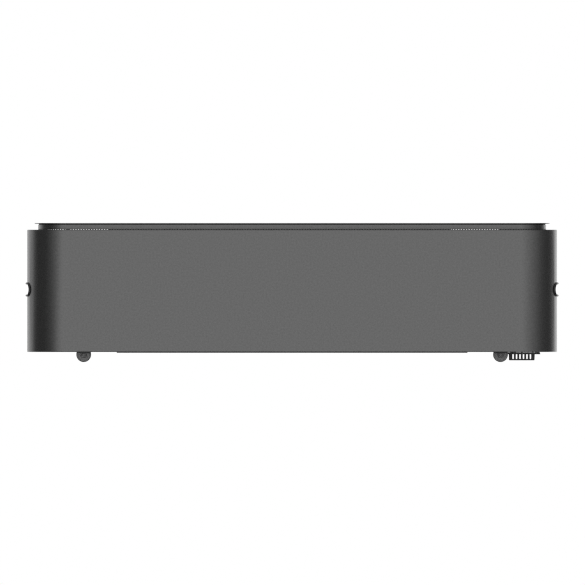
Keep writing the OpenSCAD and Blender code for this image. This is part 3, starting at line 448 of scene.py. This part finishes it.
def dusted(tree, colour_socket, coordinates, amount):
    """The colour under a thin dust on the faces that look up."""
    dust = place_group(tree, "Settled dust", {"Vector": coordinates, "Amount": amount})
    return mix_colours(tree, dust.outputs["Mask"], colour_socket, (*colours().dust, 1))


def with_painted_shade(tree, colour_socket, coordinates, height):
    """The colour, turned to the painted shade's colour where z is within half the line's width of the height.
    """
    # Painted shade: a dark band over the slots, for the shade in the groove there
    up = split_vector(tree, coordinates)["Z"]
    near = calculate(tree, "COMPARE", up, height, sizes().painted_shade_width / 2)
    return mix_colours(tree, near, colour_socket, (*colours().painted_shade, 1))


def mottling(tree, coordinates, scale):
    """A soft variation about 0.5 over a surface."""
    return place_group(
        tree, "Surface texture", {"Vector": coordinates, "Mottle Scale": scale}).outputs["Mottle"]


def textured_finish(name, colour, roughness, grain, mottle, bump, metallic=0.0, tint=0.05, dust=0.05,
                    painted_shade_at=None, **constants):
    """Painted or moulded finish: a fine bumped texture whose mottling moves the colour and the gloss.
    At the given height, if there is one, runs a dark line of painted shade, for the shade in a groove."""
    swing = 0.03
    material, tree, shader, coordinates = new_material(name, {"Metallic": metallic, **constants})
    texture = place_group(tree, "Surface texture", {
        "Vector": coordinates, "Grain Scale": grain, "Mottle Scale": mottle}).outputs
    shade = tinted(tree, colour, texture["Mottle"], tint)
    # A dark band of painted shade over the slots
    if painted_shade_at is not None:
        shade = with_painted_shade(tree, shade, coordinates, painted_shade_at)
    feed(shader, {
        "Base Color": dusted(tree, shade, coordinates, dust),
        "Roughness": spread_value(tree, texture["Mottle"], roughness - swing, roughness + swing),
        "Normal": bumped(tree, texture["Height"], bump)})
    return material


def metal_finish(name, colour, roughness, stretch, bump, tint=0.08):
    """Rolled, drawn or turned metal: a grain along one axis that moves the colour, gloss and bump."""
    swing, dust = 0.06, 0.04
    material, tree, shader, coordinates = new_material(name, {"Metallic": 1.0})
    grain = place_group(tree, "Rolled grain", {"Vector": coordinates, "Stretch": stretch}).outputs["Grain"]
    feed(shader, {
        "Base Color": dusted(tree, tinted(tree, colour, grain, tint), coordinates, dust),
        "Roughness": spread_value(tree, grain, roughness - swing, roughness + swing),
        "Normal": bumped(tree, grain, bump)})
    return material


def spangled_zinc():
    """Zinc-plated sheet: crystal cells of slightly different grey and gloss over a rolled grain."""
    material, tree, shader, coordinates = new_material("Zinc plated sheet", {"Metallic": 1.0})
    cells = add_node(tree, "ShaderNodeTexVoronoi", {"Vector": coordinates, "Scale": 160.0})
    grey = add_node(tree, "ShaderNodeSeparateColor", {0: cells.outputs["Color"]}).outputs[0]
    grain = place_group(tree, "Rolled grain", {"Vector": coordinates, "Stretch": (5.0, 300.0, 300.0)})
    feed(shader, {
        "Base Color": tinted(tree, colours().zinc, grey, 0.1),
        "Roughness": spread_value(tree, grey, 0.33, 0.45),
        "Normal": bumped(tree, grain.outputs["Grain"], 0.015 * MM)})
    return material


def board_material():
    """Circuit board: green solder mask with lighter copper tracks on a fine grid under it."""
    material, tree, shader, coordinates = new_material(
        "Circuit board", {"Coat Weight": 0.4, "Coat Roughness": 0.15})
    tracks = add_node(tree, "ShaderNodeTexBrick", {
        "Vector": coordinates, "Scale": 240.0, "Mortar Size": 0.03, "Color1": (0.012, 0.11, 0.045, 1),
        "Color2": (0.01, 0.085, 0.035, 1), "Mortar": (0.05, 0.22, 0.08, 1)})
    feed(shader, {
        "Base Color": tracks.outputs["Color"],
        "Roughness": spread_value(tree, mottling(tree, coordinates, 60.0), 0.3, 0.42)})
    return material


def smoked_window():
    """Smoked clear plastic with faint wipe marks in its gloss."""
    material, tree, shader, coordinates = new_material("Smoked window", {
        "Base Color": (0.3, 0.3, 0.32, 1), "Transmission Weight": 0.9, "IOR": 1.49})
    feed(shader, {"Roughness": spread_value(tree, mottling(tree, coordinates, 40.0), 0.04, 0.09)})
    return material


def display_segments():
    """Pale segments of the display, unlit."""
    material, tree, shader, coordinates = new_material("Display segments", {"Roughness": 0.5})
    feed(shader, {"Base Color": tinted(tree, (0.9, 0.91, 0.92), mottling(tree, coordinates, 600.0), 0.04)})
    return material


# Carried-over nodes

def finish_node(name, material, edge=0.0):
    """Gives a node its finish. Its triangles are welded, its sharp edges may get a small round of the
    edge's width, and its shading is smooth across its other edges."""
    node = NODES[name]
    node.data.materials.clear()
    node.data.materials.append(material)
    node.data.polygons.foreach_set("use_smooth", np.ones(len(node.data.polygons), bool))
    weld = node.modifiers.new("Weld", "WELD")
    weld.merge_threshold = 1e-6
    if edge:
        bevel = node.modifiers.new("Edge round", "BEVEL")
        bevel.width = edge
        bevel.segments = 2
        bevel.limit_method = "ANGLE"
        bevel.angle_limit = ROUND_FROM
        bevel.use_clamp_overlap = True
    split = node.modifiers.new("Sharp edges", "EDGE_SPLIT")
    split.split_angle = NODE_CREASE
    weighted = node.modifiers.new("Flat faces", "WEIGHTED_NORMAL")
    weighted.weight = 100


def finish_nodes(names, material):
    """Gives each of these nodes the same finish."""
    for name in names:
        finish_node(name, material)


# Operators

class HeaterOperator:
    """What all of the heater's operators share"""

    bl_options = {"REGISTER", "UNDO"}


class HEATER_OT_sheet_steel(HeaterOperator, bpy.types.Operator):
    """Powder coat on the casing, the back panel and the top plate"""

    bl_idname = "heater.sheet_steel"
    bl_label = "Coated sheet steel"

    def execute(self, context):
        coat = textured_finish("Charcoal powder coat", colours().casing, metallic=0.95, roughness=0.28,
                               grain=1100.0, mottle=300.0, bump=0.02 * MM, tint=0.17, dust=0.03)
        finish_nodes(["outer_casing", "rear_panel"], coat)
        finish_node("top_plate", coat, sizes().plate_edge)
        return {"FINISHED"}


class HEATER_OT_mouldings(HeaterOperator, bpy.types.Operator):
    """Finish of the moulded grilles, fascia, control box, cage, gland, sockets and brace"""

    bl_idname = "heater.mouldings"
    bl_label = "Mouldings"

    def execute(self, context):
        # Height of the painted shade line: the shade in the groove just above the casing's top edge
        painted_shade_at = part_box("outer_casing")[1].z + sizes().painted_shade_rise
        grille = textured_finish("Grille moulding", colours().grille, metallic=0.9, roughness=0.28,
                                 grain=1400.0, mottle=300.0, bump=0.02 * MM, tint=0.15, dust=0.03,
                                 painted_shade_at=painted_shade_at)
        dark = textured_finish("Dark moulding", colours().moulding, roughness=0.36,
                               grain=1600.0, mottle=250.0, bump=0.03 * MM, tint=0.1, dust=0.06)
        finish_nodes(["top_grille", "control_fascia"], grille)
        finish_nodes(["control_box", "inlet_grille", "sensor_cage", "cord_gland", "caster_sockets",
                      "top_brace"], dark)
        return {"FINISHED"}


class HEATER_OT_grips(HeaterOperator, bpy.types.Operator):
    """Finger grips: a drafted cup with a filleted floor and a half-round rim on the casing's corner"""

    bl_idname = "heater.grips"
    bl_label = "Finger grips"

    def rings(self, side):
        """Rows of a closed surface. Each row is a stadium that lies d inside the rim's outline, at
        x = (1 - w) plane + w casing, where the casing's x follows its corner arc, moved h along
        its normal. Rows run from the cup's floor over the rim to the back of the cup."""
        size = sizes()
        low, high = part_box("right_grip")
        casing_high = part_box("outer_casing")[1]
        radius = (high.z - low.z) / 2
        centre_z = (high.z + low.z) / 2
        corner = size.corner_radius
        flat_x, flat_y = casing_high.x - corner, casing_high.y - corner
        wall, rim, fillet = size.cup_wall, size.rim_width, size.cup_fillet
        back_x = low.x
        floor_x = back_x + wall
        draft, off = 1 * MM, 0.1 * MM

        t = np.linspace(0, 1, 8)
        bend = np.linspace(0, math.pi / 2, 7)
        bead = np.linspace(0, math.pi, 17)
        rows = np.concatenate([
            [[radius, 0, floor_x, 0]],
            np.stack([rim + draft + fillet * (1 - np.sin(bend)), bend * 0,
                      floor_x + fillet * (1 - np.cos(bend)), bend * 0], -1),
            np.stack([rim + draft * (1 - t[1:]), t[1:], t[1:] * 0 + floor_x + fillet, t[1:] * off], -1),
            np.stack([rim / 2 * (1 + np.cos(bead)), bead * 0 + 1, bead * 0,
                      off + size.rim_rise * np.sin(bead)], -1),
            [[rim - wall, 1, 0, off], [rim - wall + draft, 0, back_x, 0], [radius, 0, back_x, 0]],
        ])
        arc, line = 24, 20
        half = size.grip_straight
        turn = np.linspace(-math.pi / 2, math.pi / 2, arc, endpoint=False)
        run = np.linspace(-1, 1, line, endpoint=False)
        along = np.concatenate([half + turn * 0, -run * half, -half + turn * 0, run * half])
        out_y = np.concatenate([np.cos(turn), run * 0, -np.cos(turn), run * 0])
        out_z = np.concatenate([np.sin(turn), run * 0 + 1, -np.sin(turn), run * 0 - 1])

        inset, weight, plane, lift = (column[:, None] for column in rows.T)
        y = along + (radius - inset) * out_y
        z = centre_z + (radius - inset) * out_z
        lean = np.arcsin(np.clip((np.abs(y) - flat_y) / corner, 0, 1))
        on_casing = flat_x + (corner + lift) * np.cos(lean)
        x = (1 - weight) * plane + weight * on_casing
        y = y + weight * lift * np.sign(y) * np.sin(lean)
        return np.stack([side * x, y, z], -1)

    def execute(self, context):
        finish = bpy.data.materials["Dark moulding"]
        for side, label in ((-1, "left"), (1, "right")):
            mesh = surface_mesh(f"{label}_grip_moulding", [self.rings(side)])
            new_piece(f"{label}_grip_moulding", mesh, finish, "heater", [f"{label}_grip"])
        return {"FINISHED"}


class HEATER_OT_controls(HeaterOperator, bpy.types.Operator):
    """Button caps with their printed marks, the display, its window and the circuit boards"""

    bl_idname = "heater.controls"
    bl_label = "Controls"

    def arc(self, radius, angles):
        """Points of an arc: radius times (sin(a), cos(a))."""
        return radius * np.stack([np.sin(angles), np.cos(angles)], -1)

    def stroke(self, start, end):
        """Nine evenly spaced points of a straight line, whose ends are given in millimetres."""
        return np.linspace(start, end, 9) * MM

    def dish(self, r, top):
        """Height of a cap's face at r from its axis: top - depth (1 - (r / edge)^2)."""
        size = sizes()
        return top - size.dish_depth * (1 - (r / size.dish_radius) ** 2)

    def cap_profile(self, low, top):
        """Stem, flange and wall of a cap and its dished face, as (r, h)."""
        size = sizes()
        stem, cap, edge = 2 * MM, size.button_radius, size.dish_radius
        reach, thickness, depth, edge_round = 1.2 * MM, 1.2 * MM, 5.15 * MM, 0.45 * MM
        flange, flange_low = cap + reach, top - depth
        flange_high = flange_low + thickness
        body = rounded_profile(
            [(stem, low), (stem, flange_low), (flange, flange_low), (flange, flange_high),
             (cap, flange_high), (cap, top), (edge, top)], edge_round)
        r = np.linspace(edge, 0, 12)
        return np.concatenate([[(0, low)], body, np.stack([r, self.dish(r, top)], -1)])

    def marks(self):
        """Each button's printed mark, as paths of (x, y) points round the button's centre. A heat wave's
        points are (width sin(a), height (a / 2 pi - 1/2))."""
        ring, clock, gap = 2 * MM, 2.2 * MM, math.radians(38)
        wave_width, wave_height, wave_pitch = 0.55 * MM, 4 * MM, 1.6 * MM
        full = np.linspace(0, 2 * math.pi, 25)
        part = np.linspace(gap, 2 * math.pi - gap, 25)
        wave = np.stack([wave_width * np.sin(full), wave_height * (full / (2 * math.pi) - 0.5)], -1)
        bar = self.stroke((-2, 0), (2, 0))
        return {
            "power": [self.arc(ring, part), self.stroke((0, 0.5), (0, 2.3))],
            "mode": [wave + (place * wave_pitch, 0) for place in (-1, 0, 1)],
            "minus": [bar],
            "plus": [bar, bar[:, ::-1]],
            "timer": [self.arc(clock, full), self.stroke((0, 0), (0, 1.2)), self.stroke((0, 0), (1, 0))],
        }

    def segments(self, digits, height, pitch):
        """The seven bars of each digit: each is a path between two corners of a grid of
        one by two cells, drawn in by a tenth at both ends."""
        half = height / 2
        bars = (((0, 2), (1, 2)), ((1, 1), (1, 2)), ((1, 0), (1, 1)), ((0, 0), (1, 0)),
                ((0, 0), (0, 1)), ((0, 1), (0, 2)), ((0, 1), (1, 1)))
        t = np.linspace(0.1, 0.9, 4)[:, None]
        paths = []
        for place in range(digits):
            shift = (place - (digits - 1) / 2) * pitch
            for bar in bars:
                a, b = np.array(bar, float) - (0.5, 1)
                paths.append((a + t * (b - a)) * half + (shift, 0))
        return paths

    def printed(self, name, paths, centre, width, height_at, material, body, slot):
        """Makes thin raised lines along paths, laid on the surface height_at(r) round a centre."""
        lines = [raised_line(path, width, sizes().mark_rise, height_at) + (*centre, 0) for path in paths]
        new_piece(name, surface_mesh(name, lines), material, body)

    def execute(self, context):
        size = sizes()
        cap = textured_finish("Button caps", colours().button, roughness=0.38,
                              grain=2600.0, mottle=500.0, bump=0.01 * MM, dust=0.03)
        ink = textured_finish("Printed lines", colours().print_ink, roughness=0.5,
                              grain=3000.0, mottle=900.0, bump=0.004 * MM, dust=0.0)
        for name, paths in self.marks().items():
            low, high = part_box(f"button_{name}")
            centre, body = middle(f"button_{name}").xy, f"{name}_button"
            turned = revolved(self.cap_profile(low.z, high.z), (*centre, 0), (0, 0, 1), 64)
            new_piece(f"{body}_cap", surface_mesh(f"{body}_cap", [turned]), cap, body,
                      [f"button_{name}"])
            self.printed(f"{body}_mark", paths, centre, size.mark_width,
                         lambda r, top=high.z: self.dish(r, top), ink, body, "button_plastic")
        finish_node("display_window", smoked_window())
        finish_nodes(["control_board", "power_board"], board_material())
        gap = 0.3 * MM
        under_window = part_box("display_window")[0].z - gap
        bars = self.segments(2, size.digit_height, 0.75 * size.digit_height)
        self.printed("display_digits", bars, middle("display_window").xy, size.segment_width,
                     lambda r: under_window + r * 0, display_segments(), "heater", "display_window")
        return {"FINISHED"}


class HEATER_OT_casters(HeaterOperator, bpy.types.Operator):
    """Casters: turned wheels, the hoods' end walls, bodies, stems and axles, and screws in their steel"""

    bl_idname = "heater.casters"
    bl_label = "Casters"

    def wheel_profile(self, radius, width):
        """From the bore round the tread to the dished face, its ring groove and its boss, as (r, h)
        in millimetres, with h from the wheel's inner face."""
        bore, bore_end, corner_round = 2.05, width - 2, 0.5
        floor, groove, boss = width - 4, 6, width - 0.2
        start = np.array([(0, bore_end), (bore, bore_end)])
        inner_face = [(bore, 0), (radius - 1, 0), (radius, 1)]
        tread = [(radius, width - 1.6), (radius - 1.4, width), (radius - 2.2, width)]
        dish = [(radius - 2.6, width - 0.5), (groove, width - 0.7)]
        ring_groove = [(groove - 0.4, floor), (3, floor), (2.6, width - 0.4)]
        points = [*inner_face, *tread, *dish, *ring_groove, (2, boss), (0, boss)]
        return np.concatenate([start, rounded_profile(points, corner_round)]) * MM

    def skirt(self, axle, face, outwards, radius):
        """The hood's end wall over the top of a wheel, as wide as the wheel at its lower edge. A ring
        at each x goes up the outside to the hood's outer arc, z = sqrt(r^2 - x^2) over the axle, back
        into the hood, and down the inside from the hood's inner arc."""
        hood_gap, hood_wall, side_gap = 1 * MM, 1.4 * MM, 0.4 * MM
        gap, wall, lap = 0.25 * MM, 1 * MM, 0.5 * MM
        inner = radius + hood_gap
        x = (radius - side_gap) * np.linspace(-1, 1, 33)
        arc_out, arc_in = (axle.z + np.sqrt(r ** 2 - x ** 2) for r in (inner + hood_wall, inner))
        base = x * 0 + sizes().skirt_clear
        outside, inside, behind = (face + outwards * step for step in (gap + wall, gap, -lap))
        z = np.stack([base, arc_out, arc_out, arc_in, base], -1)
        y = np.broadcast_to([outside, outside, behind, inside, inside], z.shape)
        return with_ends(np.stack([axle.x + x[:, None] + z * 0, y, z], -1))

    def execute(self, context):
        wheel = textured_finish("Wheel moulding", colours().wheel, roughness=0.5,
                                grain=1800.0, mottle=350.0, bump=0.01 * MM)
        steel = metal_finish("Bright steel", (0.6, 0.6, 0.61), roughness=0.28,
                             stretch=(400.0, 400.0, 30.0), bump=0.006 * MM)
        dark = bpy.data.materials["Dark moulding"]
        for corner, facing in CORNERS.items():
            for side, label in ((1, "outer"), (-1, "inner")):
                node = f"wheel_{corner}_{label}"
                low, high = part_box(node)
                axle, radius, outwards = middle(node), (high.z - low.z) / 2, side * facing
                inner_face, outer_face = (low.y, high.y) if outwards > 0 else (high.y, low.y)
                profile = self.wheel_profile(radius / MM, (high.y - low.y) / MM)
                turned = revolved(profile, (axle.x, inner_face, axle.z), (0, outwards, 0))
                mesh = surface_mesh(f"{node}_turned", [turned])
                new_piece(f"{node}_turned", mesh, wheel, node, [node])
                rings = self.skirt(axle, outer_face, outwards, radius)
                skirt = f"caster_{corner}_skirt_{label}"
                new_piece(skirt, surface_mesh(skirt, [rings]), dark, f"caster_{corner}")
            finish_node(f"caster_body_{corner}", dark)
            finish_nodes([f"caster_stem_{corner}", f"axle_{corner}"], steel)
        finish_nodes(["rear_screws", "inlet_screws", "pan_rivets", "grille_screws", "board_standoffs"], steel)
        return {"FINISHED"}


class HEATER_OT_inner_parts(HeaterOperator, bpy.types.Operator):
    """Base pan, shields, heating element and electrical parts"""

    bl_idname = "heater.inner_parts"
    bl_label = "Inner parts"

    def execute(self, context):
        sheath = metal_finish("Element sheath", (0.2, 0.185, 0.165), roughness=0.42,
                              stretch=(10.0, 500.0, 500.0), bump=0.01 * MM, tint=0.18)
        fins = metal_finish("Rolled aluminium", (0.76, 0.77, 0.78), roughness=0.3,
                            stretch=(300.0, 300.0, 12.0), bump=0.008 * MM)
        ceramic = textured_finish("Glazed ceramic", (0.72, 0.68, 0.58), roughness=0.22,
                                  grain=500.0, mottle=90.0, bump=0.01 * MM, **{"Coat Weight": 0.6})
        black = textured_finish("Heat-resistant black and painted shade", (0.018, 0.018, 0.018), roughness=0.7,
                                grain=1500.0, mottle=260.0, bump=0.03 * MM, tint=0.1, dust=0.1)
        phenolic = textured_finish("Black phenolic", (0.014, 0.014, 0.015), roughness=0.4,
                                   grain=2000.0, mottle=300.0, bump=0.01 * MM, tint=0.12)
        nylon = textured_finish("Natural nylon", (0.62, 0.58, 0.48), roughness=0.45,
                                grain=1500.0, mottle=220.0, bump=0.01 * MM, **{"Subsurface Weight": 0.05})
        resin = textured_finish("Dipped resin", (0.2, 0.15, 0.08), roughness=0.3,
                                grain=1200.0, mottle=400.0, bump=0.01 * MM)
        finish_nodes(["base_pan", "left_end_plate", "right_end_plate", "front_heat_shield",
                      "rear_heat_shield"], spangled_zinc())
        # On the plate gasket this black is painted shade: it stands for the shade under the top plate's
        # overhang
        finish_nodes(["air_deflector", "plate_gasket"], black)
        finish_node("element_rod", sheath)
        finish_node("element_fins", fins)
        finish_node("element_bushes", ceramic)
        finish_nodes(["thermal_cutout", "tip_switch"], phenolic)
        finish_node("terminal_block", nylon)
        finish_node("room_sensor", resin)
        return {"FINISHED"}


class HEATER_OT_stage(HeaterOperator, bpy.types.Operator):
    """White studio: floor, light all round that is bright ahead and behind, a lamp and the camera"""

    bl_idname = "heater.stage"
    bl_label = "Stage"

    def floor(self):
        """A wide plane under the heater, which shows white to the camera and keeps the shadow."""
        half = 6.0
        corners = [(-half, -half, 0), (half, -half, 0), (half, half, 0), (-half, half, 0)]
        mesh = bpy.data.meshes.new("studio_floor")
        mesh.from_pydata(corners, [], [(0, 1, 2, 3)])
        floor = bpy.data.objects.new("studio_floor", mesh)
        bpy.context.scene.collection.objects.link(floor)
        material, tree, shader, coordinates = new_material("Studio floor", {"Roughness": 0.9})
        camera_ray = add_node(tree, "ShaderNodeLightPath").outputs["Is Camera Ray"]
        feed(shader, {
            "Base Color": tinted(tree, (0.5, 0.5, 0.5), mottling(tree, coordinates, 3.0), 0.005),
            "Emission Color": (1, 1, 1, 1),
            "Emission Strength": calculate(tree, "MULTIPLY", camera_ray, studio().floor_glow)})
        mesh.materials.append(material)
        floor.visible_glossy = False

    def ramp(self, tree, source, levels):
        """A ramp over the source with a grey stop at each (place, level), placed from 0 to 1."""
        node = add_node(tree, "ShaderNodeValToRGB")
        tree.links.new(source, node.inputs["Fac"])
        stops = node.color_ramp.elements
        for place, level in levels:
            ends = {0.0: stops[0], 1.0: stops[len(stops) - 1]}
            stop = ends.get(place) or stops.new(place)
            stop.color = (level, level, level, 1)
        return node.outputs["Color"]

    def surroundings(self):
        """White for camera and transmission rays. For all others the level follows the direction's
        turn from straight ahead, atan2(x, -y), times a share by height, and is bright again overhead."""
        settings = studio()
        world = bpy.data.worlds.new("White studio")
        bpy.context.scene.world = world
        world.use_nodes = True
        tree = world.node_tree
        parts = split_vector(tree, add_node(tree, "ShaderNodeTexCoord").outputs["Generated"])
        turn = calculate(tree, "ARCTAN2", parts["X"], calculate(tree, "MULTIPLY", parts["Y"], -1.0))
        round_place = remap(tree, turn, (-math.pi, math.pi))
        up_place = remap(tree, parts["Z"], (-1.0, 1.0))
        round_level = self.ramp(
            tree, round_place, [((angle + 180) / 360, level) for angle, level in LIGHT_ROUND])
        up_share = self.ramp(tree, up_place, [((sine + 1) / 2, share) for sine, share in LIGHT_UP])
        level = calculate(tree, "MULTIPLY", round_level, up_share)
        top = remap(tree, parts["Z"], OVERHEAD, (0.0, settings.overhead_level),
                    interpolation_type="SMOOTHSTEP")
        path = add_node(tree, "ShaderNodeLightPath").outputs
        soft = calculate(tree, "MULTIPLY", path["Is Diffuse Ray"], settings.soft_level)
        lit = calculate(tree, "MAXIMUM", calculate(tree, "MAXIMUM", level, top), soft)
        seen = calculate(tree, "MAXIMUM", path["Is Camera Ray"], path["Is Transmission Ray"])
        feed(tree.nodes["Background"], {
            "Color": (1, 1, 1, 1), "Strength": calculate(tree, "MAXIMUM", seen, lit)})
        world.cycles.sampling_method = "NONE"

    def softbox(self, settings):
        """A lamp overhead, a little to the front and to the left, which shows in no reflection."""
        lamp = bpy.data.lights.new("overhead_softbox", "AREA")
        lamp.shape = "RECTANGLE"
        lamp.size, lamp.size_y = 1.6, 1.0
        lamp.energy = settings.lamp_power
        softbox = bpy.data.objects.new("overhead_softbox", lamp)
        softbox.location = (-0.3, -0.5, 1.9)
        softbox.rotation_euler = (math.radians(-14), math.radians(-8), 0)
        softbox.visible_glossy = False
        bpy.context.scene.collection.objects.link(softbox)

    def camera(self, settings):
        """A level camera without perspective, straight in front."""
        away = 3.0
        data = bpy.data.cameras.new("level_camera")
        data.type = "ORTHO"
        data.ortho_scale = settings.view_width
        camera = bpy.data.objects.new("level_camera", data)
        camera.location = (settings.view_x, -away, settings.view_z)
        camera.rotation_euler = (math.radians(90), 0, 0)
        bpy.context.scene.collection.objects.link(camera)
        bpy.context.scene.camera = camera

    def execute(self, context):
        settings = studio()
        self.floor()
        self.surroundings()
        self.softbox(settings)
        self.camera(settings)
        context.scene.view_settings.view_transform = "Standard"
        context.scene.cycles.filter_width = 1.2
        return {"FINISHED"}


OPERATORS = (
    HEATER_OT_sheet_steel, HEATER_OT_mouldings, HEATER_OT_grips, HEATER_OT_controls,
    HEATER_OT_casters, HEATER_OT_inner_parts, HEATER_OT_stage,
)


class HEATER_PT_panel(bpy.types.Panel):
    """Lists the heater's pieces"""

    bl_idname = "HEATER_PT_panel"
    bl_label = "Convector heater"
    bl_space_type = "VIEW_3D"
    bl_region_type = "UI"
    bl_category = "Heater"

    def draw(self, context):
        for operator in OPERATORS:
            self.layout.operator(operator.bl_idname)


GROUPS = {"heater_sizes": HeaterSizes, "heater_colours": HeaterColours, "heater_stage": StageSettings}


def register():
    for group in GROUPS.values():
        bpy.utils.register_class(group)
    for operator in OPERATORS:
        bpy.utils.register_class(operator)
    bpy.utils.register_class(HEATER_PT_panel)
    for name, group in GROUPS.items():
        setattr(bpy.types.Scene, name, bpy.props.PointerProperty(type=group))


def unregister():
    for name in GROUPS:
        delattr(bpy.types.Scene, name)
    bpy.utils.unregister_class(HEATER_PT_panel)
    for operator in reversed(OPERATORS):
        bpy.utils.unregister_class(operator)
    for group in reversed(list(GROUPS.values())):
        bpy.utils.unregister_class(group)


def main():
    register()
    for operator in OPERATORS:
        area, call = operator.bl_idname.split(".")
        getattr(getattr(bpy.ops, area), call)()


if __name__ == "__main__":
    main()
